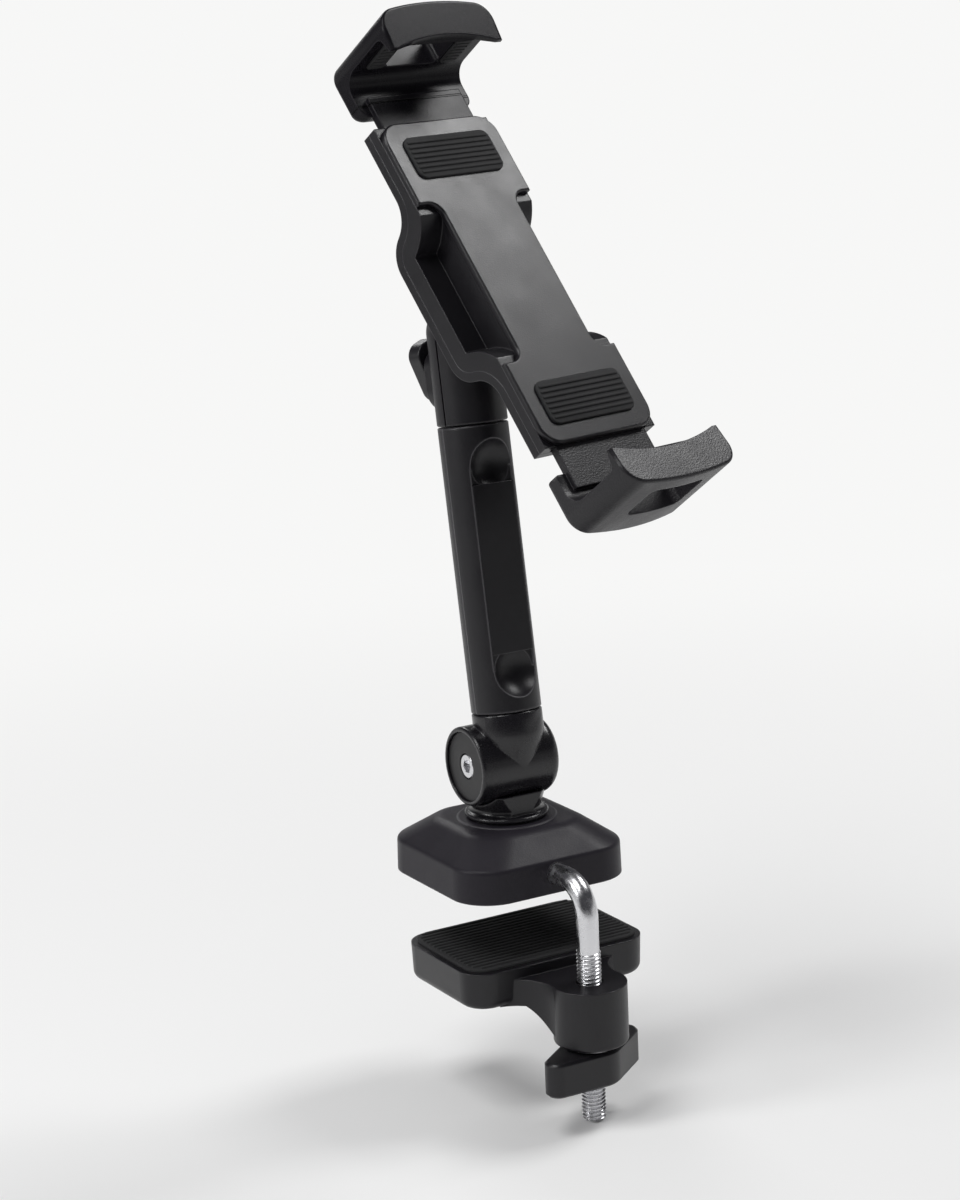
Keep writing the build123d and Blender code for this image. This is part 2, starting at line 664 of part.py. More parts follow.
def head_half(front):
    side = -1 if front else 1
    with BuildPart(head_frame) as half:
        with Locations((0, 0, joint_gap / 2)):
            Cylinder(arm_radius, ball_height - joint_gap / 2, align=low)
        chamfer(half.edges().filter_by(GeomType.CIRCLE).sort_by(Axis.Z)[0], arm_edge)
        with Locations((0, 0, ball_height)):
            Sphere(arm_radius)
        with BuildSketch(within(head_frame, Plane.XZ)):
            with Locations((0, bolt_height - knob_seat_drop / 2)):
                SlotCenterToCenter(knob_seat_drop, 2 * knob_seat_radius, rotation=90)
        extrude(amount=-knob_seat)
        with BuildSketch(within(head_frame, Plane.YZ)):
            with BuildLine():
                Polyline((0, ball_height),
                         (-head_reach * sin(radians(tilt_high - crown_spread)),
                          ball_height + head_reach * cos(radians(tilt_high - crown_spread))),
                         (-head_reach, ball_height + head_reach),
                         (-head_reach * sin(radians(tilt_low + crown_spread)),
                          ball_height + head_reach * cos(radians(tilt_low + crown_spread))), close=True)
            make_face()
            with Locations((0, ball_height)):
                Circle(crown_radius, mode=Mode.SUBTRACT)
        extrude(amount=2 * arm_radius, both=True, mode=Mode.SUBTRACT)
        with BuildSketch(within(head_frame, Plane.YZ)):
            with BuildLine():
                Polyline((slot_width * high_cos, ball_height + slot_width * high_sin),
                         (slot_width * high_cos - head_reach * high_sin,
                          ball_height + slot_width * high_sin + head_reach * high_cos),
                         (-head_reach, ball_height + head_reach),
                         (-slot_width * low_cos - head_reach * low_sin,
                          ball_height - slot_width * low_sin + head_reach * low_cos),
                         (-slot_width * low_cos, ball_height - slot_width * low_sin), close=True)
            make_face()
            with Locations((0, ball_height)):
                Circle(slot_width)
        extrude(amount=slot_width, both=True, mode=Mode.SUBTRACT)
        with Locations((0, 0, ball_height)):
            Sphere(ball_radius + ball_gap, mode=Mode.SUBTRACT)
        Cylinder(spigot_radius, spigot_length, align=high)
        with Locations((0, 0, joint_gap)):
            Cylinder(spigot_radius, 2 * joint_gap, align=high)
        with Locations((0, 0, -spigot_length - spigot_play)):
            Cylinder(spigot_radius + spigot_flange, spigot_flange_height, align=high)
            Cylinder(spigot_radius, 2 * spigot_play)
        with Locations((0, -bolt_head_seat, bolt_height)):
            Cylinder(bolt_radius + bolt_gap, 3 * arm_radius, rotation=(-90, 0, 0), align=low,
                     mode=Mode.SUBTRACT)
        with BuildSketch(within(head_frame, Plane.XZ)):
            with Locations((0, bolt_height)):
                RegularPolygon(bolt_flats / 2 + 0.05, 6, major_radius=False)
        extrude(amount=bolt_head_seat + bolt_head_height, mode=Mode.SUBTRACT)
        split(bisect_by=within(head_frame, Plane.XZ.offset(-side * head_seam / 2)),
              keep=Keep.TOP if front else Keep.BOTTOM)
    return half


head_front_shell = head_half(True)
head_rear_shell = head_half(False)

bolt_end = knob_seat + knob_gap + knob_hub_height + knob_thickness - 1.2
with BuildPart(head_frame) as clamp_bolt:
    with BuildSketch(within(head_frame, Plane.XZ.offset(bolt_head_seat))):
        with Locations((0, bolt_height)):
            RegularPolygon(bolt_flats / 2, 6, major_radius=False)
    extrude(amount=bolt_head_height - 0.05)
    with Locations((0, -bolt_head_seat - 0.5, bolt_height)):
        Cylinder(bolt_radius, bolt_end + bolt_head_seat + 0.5, rotation=(-90, 0, 0), align=low)

knob_place = Plane(origin=(0, knob_seat + knob_gap, bolt_height), x_dir=(1, 0, 0), z_dir=(0, 1, 0))
knob_frame = within(head_frame, knob_place)
with BuildPart(knob_frame) as thumb_knob:
    with BuildSketch(within(knob_frame, Plane.XY.offset(knob_hub_height))):
        RectangleRounded(knob_length, knob_width, knob_corner, rotation=90 - knob_lean)
    extrude(amount=knob_thickness)
    fillet(thumb_knob.faces().sort_by(Axis((0, 0, 0), knob_frame.z_dir))[-1].edges(), knob_edge)
    fillet(thumb_knob.faces().sort_by(Axis((0, 0, 0), knob_frame.z_dir))[0].edges(), knob_edge / 2)
    Cylinder(knob_hub_radius, knob_hub_height + 1, align=low)
    Cylinder(knob_insert_radius + press_gap, knob_insert_height, align=low, mode=Mode.SUBTRACT)
    Cylinder(bolt_radius + bolt_gap, knob_hub_height + knob_thickness - 0.6, align=low, mode=Mode.SUBTRACT)

with BuildPart(knob_frame) as knob_insert:
    Cylinder(knob_insert_radius, knob_insert_height, align=low)
    Cylinder(bolt_radius + thread_gap, 4 * knob_insert_height, mode=Mode.SUBTRACT)

# Ball stud with the washer and nut that hold the cradle on it
with BuildPart(pivot_frame) as ball_stud:
    Sphere(ball_radius)
    flange_top = hump_back - stud_flange_gap
    Cylinder(stud_radius, flange_top, align=low)
    with Locations((0, 0, flange_top)):
        Cylinder(stud_flange_radius, stud_flange_height, align=high)
    chamfer(ball_stud.edges().filter_by(GeomType.CIRCLE).filter_by(
        lambda edge: edge.radius > stud_flange_radius - slip_gap), 0.4)
    Cylinder(stud_thread_radius, hump_back + cover_thickness + stud_flange_gap + stud_washer_thickness
             + stud_nut_height + 0.8, align=low)

with BuildPart(pivot_frame) as stud_washer:
    with Locations((0, 0, hump_back + cover_thickness + stud_flange_gap)):
        Cylinder(stud_flange_radius, stud_washer_thickness, align=low)
        Cylinder(stud_thread_radius + press_gap, 3 * stud_washer_thickness, mode=Mode.SUBTRACT)

with BuildPart(pivot_frame) as stud_nut:
    with BuildSketch(within(pivot_frame, Plane.XY.offset(hump_back + cover_thickness + stud_flange_gap
                                                          + stud_washer_thickness))):
        RegularPolygon(stud_nut_flats / 2, 6, major_radius=False)
        Circle(stud_thread_radius + press_gap, mode=Mode.SUBTRACT)
    extrude(amount=stud_nut_height)

# Cradle: a hat-shaped band, seen from the side two bends between the ends and the hump
rise = end_back - hump_back
run = bend_half - hump_half
bend_radius = (run ** 2 + rise ** 2) / (4 * rise)
bend_angle = 2 * degrees(atan2(rise, run))
bar_back = end_back + cover_thickness + bar_gap
bar_front = bar_back + bar_thickness
plate_back = bar_front + bar_gap
plate_front = plate_back + front_plate_thickness
cradle_side = within(cradle_frame, Plane.YZ)


def hat_line(depth):
    """Half of the band's outline at a depth under its rear face, from the middle to the end."""
    Line((0, hump_back + depth), (hump_half, hump_back + depth))
    CenterArc((hump_half, hump_back + bend_radius), bend_radius - depth, 270, bend_angle)
    CenterArc((bend_half, end_back - bend_radius), bend_radius + depth, 90 + bend_angle, -bend_angle)
    Line((bend_half, end_back + depth), (cradle_length / 2, end_back + depth))


with BuildPart(cradle_frame) as cradle_cover:
    with BuildSketch(cradle_side):
        with BuildLine():
            hat_line(0)
            hat_line(cover_thickness)
            Line((0, hump_back), (0, hump_back + cover_thickness))
            Line((cradle_length / 2, end_back), (cradle_length / 2, end_back + cover_thickness))
        make_face()
        mirror(about=Plane.YZ)
    extrude(amount=cradle_width / 2, both=True)
    Cylinder(stud_thread_radius + stud_thread_gap, 4 * hump_back, mode=Mode.SUBTRACT)
    with Locations((0, 0, end_back)):
        with GridLocations((cradle_width / 2 + bar_half), 2 * cradle_screw_place, 2, 2):
            Cylinder(cradle_screw_radius + slip_gap, 4 * cover_thickness, mode=Mode.SUBTRACT)
            Cylinder(cradle_screw_head + slip_gap, 3, mode=Mode.SUBTRACT)

with BuildPart(cradle_frame) as cradle_frame_part:
    with BuildSketch(cradle_side):
        with BuildLine():
            hat_line(cover_thickness)
            hat_line(band_thickness)
            Line((0, hump_back + cover_thickness), (0, hump_back + band_thickness))
            Line((cradle_length / 2, end_back + cover_thickness),
                 (cradle_length / 2, end_back + band_thickness))
        make_face()
        mirror(about=Plane.YZ)
        Rectangle(2 * cradle_length, 2 * plate_back, mode=Mode.INTERSECT)
    extrude(amount=cradle_width / 2, both=True)
    with BuildSketch(cradle_side):
        with BuildLine():
            hat_line(cover_thickness)
            Line((0, hump_back + cover_thickness), (0, plate_back))
            Line((0, plate_back), (cradle_length / 2, plate_back))
            Line((cradle_length / 2, plate_back), (cradle_length / 2, end_back + cover_thickness))
        make_face()
        mirror(about=Plane.YZ)
    extrude(amount=spine_half, both=True)
    with Locations((0, 0, plate_back)):
        Box(2 * (tail_half + bar_gap), spine_length, bar_thickness + 2 * bar_gap, align=high,
            mode=Mode.SUBTRACT)
    with Locations((0, spine_length / 2, plate_back)):
        Box(2 * (bar_half + bar_gap), cradle_length, bar_thickness + 2 * bar_gap,
            align=(Align.CENTER, Align.MIN, Align.MAX), mode=Mode.SUBTRACT)
    with Locations((0, -spine_length / 2, plate_back)):
        Box(2 * (bar_half + bar_gap), cradle_length, bar_thickness + 2 * bar_gap,
            align=(Align.CENTER, Align.MAX, Align.MAX), mode=Mode.SUBTRACT)
    with Locations((0, 0, hump_back)):
        Box(cradle_width - 6, 2 * hump_half - 4, band_thickness - spine_wall, align=low, mode=Mode.SUBTRACT)
        Box(2 * (stud_flange_radius + 1), 2 * (stud_flange_radius + 1),
            bar_back - bar_gap - spine_wall - hump_back, align=low, mode=Mode.SUBTRACT)
    with Locations((0, brake_length, bar_back - bar_gap), (0, -brake_length, bar_back - bar_gap)):
        Box(2 * brake_half + slip_gap, brake_length + slip_gap, brake_height, align=high,
            mode=Mode.SUBTRACT)
    with Locations((0, 0, end_back)):
        with GridLocations((cradle_width / 2 + bar_half), 2 * cradle_screw_place, 2, 2):
            Cylinder(cradle_screw_radius, 40, mode=Mode.SUBTRACT)

with BuildPart(cradle_frame) as front_plate:
    with BuildSketch(within(cradle_frame, Plane.XY.offset(plate_back))):
        RectangleRounded(cradle_width, cradle_length, front_plate_corner)
        with Locations((waist_half + cradle_width / 2, 0), (-waist_half - cradle_width / 2, 0)):
            RectangleRounded(cradle_width, waist_length, waist_corner, mode=Mode.SUBTRACT)
    extrude(amount=front_plate_thickness)
    chamfer(front_plate.faces().sort_by(Axis((0, 0, 0), cradle_frame.z_dir))[-1].edges(), 0.5)

with BuildPart(cradle_frame) as cradle_screws:
    with Locations((0, 0, end_back + 1.5)):
        with GridLocations((cradle_width / 2 + bar_half), 2 * cradle_screw_place, 2, 2):
            Cylinder(cradle_screw_radius - press_gap, plate_back - end_back - 1.6, align=low)
            Cylinder(cradle_screw_head, 1.2, align=high)

with BuildPart(cradle_frame) as cradle_pads:
    with BuildSketch(within(cradle_frame, Plane.XY.offset(plate_front))):
        with Locations((0, front_pad_place), (0, -front_pad_place)):
            RectangleRounded(front_pad_width, front_pad_length, 3)
    extrude(amount=front_pad_thickness)

with BuildPart(cradle_frame) as slide_brakes:
    with Locations((0, brake_length, bar_back - bar_gap), (0, -brake_length, bar_back - bar_gap)):
        Box(2 * brake_half, brake_length, brake_height - 0.05, align=high)


# Claws: a hooked section with a bowed, round-cornered outline, an arched lip, a port hole and a slide bar
def claw(frame, foot, foot_round):
    with BuildPart(frame) as hook:
        with BuildSketch(within(frame, Plane.XY.offset(claw_back))):
            with BuildLine():
                ThreePointArc((-claw_half, claw_side), (0, claw_side + claw_bow), (claw_half, claw_side))
                Line((claw_half, claw_side), (claw_half, foot))
                Line((claw_half, foot), (-claw_half, foot))
                Line((-claw_half, foot), (-claw_half, claw_side))
            outline = make_face()
            fillet(outline.vertices().sort_by(Axis.Y)[-2:], claw_corner)
        extrude(amount=claw_front - claw_back)
        for height, radius in ((claw_back, claw_back_round), (claw_front, claw_front_round)):
            fillet(hook.edges().filter_by(GeomType.CIRCLE).filter_by(
                lambda edge: abs(frame.to_local_coords(edge.center()).Z - height) < 0.01), radius)
        with BuildSketch(within(frame, Plane.YZ)) as hollow:
            with BuildLine():
                Polyline((foot - 1, claw_back + claw_plate), (foot - 1, claw_front + 1),
                         (claw_lip_edge, claw_front + 1), (claw_lip_edge, claw_front - claw_lip),
                         (claw_inner, claw_front - claw_lip - claw_lip_root),
                         (claw_inner, claw_back + claw_plate), close=True)
            make_face()
            fillet(hollow.vertices().sort_by_distance(
                (claw_inner, claw_back + claw_plate))[0], claw_inner_round)
            fillet(hollow.vertices().sort_by_distance(
                (claw_inner, claw_front - claw_lip - claw_lip_root))[0], claw_lip_round)
        extrude(amount=2 * claw_half, both=True, mode=Mode.SUBTRACT)
        fillet(hook.faces().sort_by(Axis(frame.origin, frame.y_dir))[0].edges().sort_by(
            Axis(frame.origin, frame.z_dir))[0], foot_round)
        with BuildSketch(within(frame, Plane.XY.offset(claw_front - claw_lip - 0.5))):
            with BuildLine():
                ThreePointArc((-claw_half + 2.5, claw_lip_edge), (0, claw_lip_edge + claw_arch),
                              (claw_half - 2.5, claw_lip_edge))
                Line((claw_half - 2.5, claw_lip_edge), (claw_half - 2.5, claw_lip_edge - 2))
                Line((claw_half - 2.5, claw_lip_edge - 2), (-claw_half + 2.5, claw_lip_edge - 2))
                Line((-claw_half + 2.5, claw_lip_edge - 2), (-claw_half + 2.5, claw_lip_edge))
            make_face()
        extrude(amount=claw_lip + 2, mode=Mode.SUBTRACT)
        port_place = Plane((0, claw_inner - 1, port_middle), x_dir=(1, 0, 0), z_dir=(0, 1, 0))
        with BuildSketch(within(frame, port_place)):
            RectangleRounded(port_width, port_height, port_round)
        extrude(amount=30, mode=Mode.SUBTRACT)
        with Locations((0, tail_root, bar_back)):
            Box(2 * bar_half, foot + 6 - tail_root, bar_thickness, align=(Align.CENTER, Align.MIN,
                                                                          Align.MIN))
        with Locations((0, tail_end, bar_back)):
            Box(2 * tail_half, tail_root - tail_end + 1, bar_thickness,
                align=(Align.CENTER, Align.MIN, Align.MIN))
    return hook


def lining(frame):
    with BuildPart(frame) as pad:
        with Locations((0, claw_inner, lining_middle)):
            Box(lining_width, lining_thickness, lining_height, align=(Align.CENTER, Align.MAX,
                                                                      Align.CENTER))
            Box(port_width + 1, 4 * lining_thickness, 2 * lining_height, mode=Mode.SUBTRACT)
    return pad


upper_claw = claw(cradle_frame, upper_foot, upper_foot_round)
upper_lining = lining(cradle_frame)
lower_claw = claw(lower_frame, lower_foot, lower_foot_round)
lower_lining = lining(lower_frame)

pieces = {
    "base_housing": base_housing,
    "base_plate": base_plate,
    "base_pad": base_pad,
    "base_screws": base_screws,
    "friction_ring": friction_ring,
    "hook_rod": hook_rod,
    "rod_pin": rod_pin,
    "clamp_jaw": clamp_jaw,
    "jaw_pad": jaw_pad,
    "thrust_washer": thrust_washer,
    "wing_nut": wing_nut,
    "wing_insert": wing_insert,
    "swivel_post": swivel_post,
    "swivel_washer": swivel_washer,
    "swivel_screw": swivel_screw,
    "knuckle": knuckle,
    "knuckle_cap": knuckle_cap,
    "hinge_screw": hinge_screw,
    "hinge_nut": hinge_nut,
    "friction_discs": friction_discs,
    "arm_front_shell": arm_front_shell,
    "arm_rear_shell": arm_rear_shell,
    "arm_panel": arm_panel,
    "arm_screws": arm_screws,
    "head_front_shell": head_front_shell,
    "head_rear_shell": head_rear_shell,
    "clamp_bolt": clamp_bolt,
    "thumb_knob": thumb_knob,
    "knob_insert": knob_insert,
    "ball_stud": ball_stud,
    "stud_washer": stud_washer,
    "stud_nut": stud_nut,
    "cradle_cover": cradle_cover,
    "cradle_frame": cradle_frame_part,
    "front_plate": front_plate,
    "cradle_screws": cradle_screws,
    "cradle_pads": cradle_pads,
    "slide_brakes": slide_brakes,
    "upper_claw": upper_claw,
    "upper_lining": upper_lining,
    "lower_claw": lower_claw,
    "lower_lining": lower_lining,
}
for name, piece in pieces.items():
    piece.part.label = name
    export_step(piece.part, "parts/" + name + ".step")
    print(name, round(piece.part.volume / 1000, 2), "cm3", len(piece.part.solids()), "solids")
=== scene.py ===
# %% [markdown]
# # A clamp-on holder with a jointed arm, dressed for the camera
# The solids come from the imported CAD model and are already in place, in metres. This lesson gives them
# the finishes of the real thing, and rebuilds in mesh code the pieces that a plain solid can't show, such as
# the rod's screw thread, the ribbed rubber and the screws' cross slots. First the model is loaded, and its
# box is kept, because nothing that is added later may grow past it.

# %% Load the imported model
import bpy
import bmesh
import json
from math import pi, radians, sqrt
from mathutils import Matrix, Vector


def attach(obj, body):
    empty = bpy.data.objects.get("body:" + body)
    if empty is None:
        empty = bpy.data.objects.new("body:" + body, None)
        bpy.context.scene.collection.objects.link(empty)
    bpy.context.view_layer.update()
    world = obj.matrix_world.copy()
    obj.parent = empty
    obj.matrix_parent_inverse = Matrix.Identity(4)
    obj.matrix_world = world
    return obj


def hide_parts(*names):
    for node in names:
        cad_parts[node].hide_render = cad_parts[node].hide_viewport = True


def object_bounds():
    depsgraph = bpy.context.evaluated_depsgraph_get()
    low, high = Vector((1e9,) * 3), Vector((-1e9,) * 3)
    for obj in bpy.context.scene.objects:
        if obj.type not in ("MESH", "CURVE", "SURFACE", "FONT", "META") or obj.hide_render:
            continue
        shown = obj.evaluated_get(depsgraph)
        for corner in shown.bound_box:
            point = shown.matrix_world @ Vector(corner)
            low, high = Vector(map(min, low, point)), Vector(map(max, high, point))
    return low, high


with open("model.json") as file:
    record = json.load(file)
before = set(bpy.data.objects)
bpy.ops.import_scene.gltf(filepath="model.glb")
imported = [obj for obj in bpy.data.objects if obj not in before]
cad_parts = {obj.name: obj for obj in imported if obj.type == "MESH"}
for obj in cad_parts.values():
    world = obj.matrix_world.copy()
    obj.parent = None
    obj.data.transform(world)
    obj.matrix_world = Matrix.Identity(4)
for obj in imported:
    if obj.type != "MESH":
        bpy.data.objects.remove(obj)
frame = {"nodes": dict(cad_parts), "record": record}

cad_low, cad_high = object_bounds()
print("nodes:", len(frame["nodes"]), "CAD box:", [round(v, 4) for v in (*cad_low, *cad_high)])

# %% [markdown]
# ## The camera
# The view was solved from the picture: the camera stands in front and to the left, a little above the
# cradle, with a long lens. The rotation is written as the camera's own three axes, so the small roll of
# the picture is kept without any constraint.

# %% Camera at the picture's angle
CAMERA_SPOT = (-0.4517, -0.7841, 0.3046)
across = Vector((0.8638, -0.5021, -0.0430)).normalized()
behind = Vector((-0.4806, -0.8464, 0.2295)).normalized()
upward = behind.cross(across).normalized()

lens = bpy.data.cameras.new("picture_camera")
lens.sensor_fit = "AUTO"
lens.sensor_width = 36.0
lens.lens = 87.0
lens.clip_start = 0.05
lens.clip_end = 100.0
camera = bpy.data.objects.new("picture_camera", lens)
turn = Matrix((across, upward, behind)).transposed()
camera.matrix_world = Matrix.Translation(CAMERA_SPOT) @ turn.to_4x4()
bpy.context.scene.collection.objects.link(camera)
bpy.context.scene.camera = camera
print("camera at", [round(v, 3) for v in camera.location])

# %% [markdown]
# ## Small helpers for shader nodes
# A finish is a handful of nodes with links between them. One helper adds a node and fills its inputs, with
# plain values or with other nodes' sockets. The others are short forms of the nodes that come again and
# again, so that each finish below reads like a recipe.

# %% Helpers for nodes
def node(tree, kind, inputs=None, **settings):
    """Adds a shader node, with settings and with inputs that are values or other nodes' sockets."""
    made = tree.nodes.new("ShaderNode" + kind)
    for key, value in settings.items():
        setattr(made, key, value)
    for key, value in (inputs or {}).items():
        if isinstance(value, bpy.types.NodeSocket):
            tree.links.new(value, made.inputs[key])
        else:
            made.inputs[key].default_value = value
    return made


def new_finish(name):
    """A material, its nodes, its Principled shader and the object's own coordinates."""
    made = bpy.data.materials.new(name)
    made.use_nodes = True
    tree = made.node_tree
    return made, tree, tree.nodes["Principled BSDF"], node(tree, "TexCoord").outputs["Object"]


def maths(tree, operation, *values):
    """One step of arithmetic on plain values or sockets."""
    return node(tree, "Math", dict(enumerate(values)), operation=operation).outputs[0]


def ranged(tree, value, start, end, to=(0.0, 1.0), soft=False):
    """Turns a range of values into another one, in a straight line or softly, and stops at its ends."""
    return node(tree, "MapRange", {"Value": value, "From Min": start, "From Max": end, "To Min": to[0],
                                   "To Max": to[1]},
                interpolation_type="SMOOTHSTEP" if soft else "LINEAR").outputs[0]


def noise(tree, place, scale, detail, rough=0.5):
    """A noise of about 0 to 1. A larger scale gives finer spots."""
    return node(tree, "TexNoise", {"Vector": place, "Scale": scale, "Detail": detail,
                                   "Roughness": rough}).outputs[0]


def mix(tree, share, first, second):
    """A colour between two others, by a share."""
    return node(tree, "MixRGB", {0: share, 1: first, 2: second}).outputs[0]


def toned(colour, share=1.0):
    """A colour made darker or lighter by a share, with the alpha that a socket wants."""
    return (*(share * part for part in colour), 1)


def bumped(tree, height, strength, distance, normal, **settings):
    """A normal that is tipped by a pattern of heights."""
    return node(tree, "Bump", {"Height": height, "Strength": strength, "Distance": distance,
                               "Normal": normal}, **settings).outputs[0]


print("node helpers ready")

# %% [markdown]
# ## Floor and backdrop
# The picture has a white ground. A plain pale floor lies at the foot of the rod and keeps the shadow. A floor
# that is lit only by small lamps would go grey in the distance and show its edge, so away from the object it
# fades into a plain pale glow, and the world behind it has that same tone. Light Path keeps the glow out of
# the lighting: only the camera sees it.

# %% Pale floor
PALE = (0.93, 0.93, 0.925, 1)
FLOOR_TONES = ((0.84, 0.84, 0.835, 1), (0.86, 0.86, 0.855, 1))
FLOOR_RADIUS = 40.0
FLOOR_GAP = 0.0002
FADE_START = 0.12
FADE_END = 0.75

paper, tree, shader, place = new_finish("pale_floor")
tone = noise(tree, place, scale=3.0, detail=2.0)
tree.links.new(mix(tree, tone, *FLOOR_TONES), shader.inputs["Base Color"])
shader.inputs["Roughness"].default_value = 0.9
shader.inputs["Specular IOR Level"].default_value = 0.1
reach = node(tree, "VectorMath", {0: place}, operation="LENGTH").outputs["Value"]
far = ranged(tree, reach, FADE_START, FADE_END, soft=True)
fade = maths(tree, "MULTIPLY", far, node(tree, "LightPath").outputs["Is Camera Ray"])
glow = node(tree, "Emission", {"Color": PALE, "Strength": 1.0})
ground = node(tree, "MixShader", {0: fade, 1: shader.outputs[0], 2: glow.outputs[0]})
tree.links.new(ground.outputs[0], tree.nodes["Material Output"].inputs["Surface"])

sheet = bmesh.new()
bmesh.ops.create_circle(sheet, cap_ends=True, segments=96, radius=FLOOR_RADIUS)
bmesh.ops.translate(sheet, verts=sheet.verts, vec=(0, 0, cad_low.z - FLOOR_GAP))
floor_mesh = bpy.data.meshes.new("floor")
sheet.to_mesh(floor_mesh)
sheet.free()
floor_mesh.materials.append(paper)
floor = bpy.data.objects.new("floor", floor_mesh)
bpy.context.scene.collection.objects.link(floor)
print("floor at", round(cad_low.z, 4))

# %% [markdown]
# ## The world as a studio
# The camera sees the world as the pale backdrop, and a faint even light comes from it. In reflections it is
# a studio: pale along the backdrop, dark at the ceiling and in the room in front. Black plastic needs that
# dark, or every face would mirror the same white. Light Path tells the kinds of rays apart.

# %% Studio world
DAYLIGHT = (0.98, 0.98, 1.0, 1)
DAYLIGHT_STRENGTH = 0.30
DARK_ROOM = (0.05, 0.05, 0.055, 1)
ROOM_SIDE = (-0.49, -0.87, 0.0)


def seen_directly(tree):
    """1 for rays that look at the background: straight from the camera, in a reflection or through glass."""
    path = node(tree, "LightPath")
    either = maths(tree, "MAXIMUM", path.outputs["Is Camera Ray"], path.outputs["Is Glossy Ray"])
    return maths(tree, "MAXIMUM", either, path.outputs["Is Transmission Ray"])


sky = bpy.data.worlds.new("studio")
bpy.context.scene.world = sky
sky.use_nodes = True
tree = sky.node_tree
light = tree.nodes["Background"]
light.inputs["Color"].default_value = DAYLIGHT
light.inputs["Strength"].default_value = DAYLIGHT_STRENGTH
toward = node(tree, "TexCoord").outputs["Generated"]
raised = ranged(tree, node(tree, "SeparateXYZ", {0: toward}).outputs["Z"], -0.02, 0.3, soft=True)
facing = node(tree, "VectorMath", {0: toward, 1: ROOM_SIDE}, operation="DOT_PRODUCT").outputs["Value"]
unlit = maths(tree, "MAXIMUM", raised, ranged(tree, facing, 0.1, 0.8, soft=True))
mirrored = maths(tree, "SUBTRACT", 1.0, node(tree, "LightPath").outputs["Is Camera Ray"])
studio = mix(tree, maths(tree, "MULTIPLY", unlit, mirrored), PALE, DARK_ROOM)
backdrop = node(tree, "Background", {"Color": studio, "Strength": 1.0})
both = node(tree, "MixShader", {0: seen_directly(tree), 1: light.outputs[0], 2: backdrop.outputs[0]})
tree.links.new(both.outputs[0], tree.nodes["World Output"].inputs["Surface"])
bpy.context.scene.view_settings.view_transform = "Standard"
print("world:", sky.name)

# %% [markdown]
# ## Lamps
# Black plastic shows little but its reflections. So the light is a few soft panels: one hangs overhead at the
# left, the strongest stands high at the right, where the lower claw's lip mirrors it, one stands at the left,
# and one behind draws the thin bright lines along the far edges.

# %% Soft panels
def soft_panel(name, spot, aim, size, power):
    """A square area lamp that faces a point."""
    lamp = bpy.data.lights.new(name, "AREA")
    lamp.size = size
    lamp.energy = power
    stand = bpy.data.objects.new(name, lamp)
    away = (Vector(spot) - Vector(aim)).normalized()
    stand.matrix_world = Matrix.Translation(spot) @ away.to_track_quat("Z", "Y").to_matrix().to_4x4()
    bpy.context.scene.collection.objects.link(stand)
    return stand


lamps = [
    soft_panel("panel_above", spot=(-0.50, -0.12, 1.05), aim=(0, 0, 0.12), size=0.45, power=4.5),
    soft_panel("panel_right", spot=(0.78, -0.03, 1.08), aim=(0, 0, 0.15), size=0.42, power=6.5),
    soft_panel("panel_left", spot=(-1.0, 0.15, 0.60), aim=(0, 0, 0.10), size=0.30, power=3.5),
    soft_panel("panel_back", spot=(0.2, 0.95, 0.7), aim=(0, 0, 0.1), size=0.40, power=2.0),
]
print("lamps:", ", ".join(lamp.name for lamp in lamps))

# %% [markdown]
# ## Places on the arm and the cradle
# The arm leans, the head is turned on it, and the cradle is tipped on the head's ball. These are the same
# turns as in the CAD, written once as frames, so a piece can be made flat and upright and then put in place.

# %% Frames of the arm, head and cradle
HINGE_HEIGHT = 0.038
NECK_OFFSET = 0.0052
SHAFT_FOOT = 0.0165
SHAFT_LENGTH = 0.09285
BALL_RISE = 0.02925
ARM_LEAN = -8.57
HEAD_TURN = 12.1
CRADLE_TIP = 61.4
CRADLE_SPIN = 2.3


def shifted(x, y, z):
    """A move by metres."""
    return Matrix.Translation((x, y, z))


def turned(degrees, axis):
    """A turn by degrees round one of the axes."""
    return Matrix.Rotation(radians(degrees), 4, axis)


arm_place = shifted(0, 0, HINGE_HEIGHT) @ turned(ARM_LEAN, "X")
shaft_place = arm_place @ shifted(0, -NECK_OFFSET, SHAFT_FOOT)
head_place = shaft_place @ shifted(0, 0, SHAFT_LENGTH) @ turned(HEAD_TURN, "Z")
pivot_place = head_place @ shifted(0, 0, BALL_RISE) @ turned(CRADLE_TIP, "X")
cradle_place = pivot_place @ turned(CRADLE_SPIN, "Z")
lower_place = cradle_place @ turned(180, "Z")
print("cradle pivot at", [round(v, 4) for v in cradle_place.translation])

# %% [markdown]
# ## Black moulded plastic
# Nearly every piece is satin black plastic from a mould with a fine spark-eroded grain. A flat black would
# look like a hole in the picture. So the finish has layers: a grain bump of about a third of a millimetre,
# broad clouds of slightly different gloss where the plastic flowed, and corners that are a touch rounder and
# carry a painted highlight that makes them lighter. The corners come from the Bevel node, which needs no
# change to a mesh. The upper claw also has a fine line round it, where two halves of the mould met.

# %% Recipe for moulded plastic
def mould_line(tree, place, frame_of, level, width):
    """1 on a fine line at a level along a frame's own Y, and 0 away from it."""
    inverse = frame_of.inverted()
    own = node(tree, "Mapping", {"Vector": place, "Location": inverse.translation,
                                 "Rotation": inverse.to_euler()})
    along = node(tree, "SeparateXYZ", {0: own.outputs[0]}).outputs["Y"]
    away = maths(tree, "ABSOLUTE", maths(tree, "SUBTRACT", along, level))
    return ranged(tree, away, width, 0.5 * width)


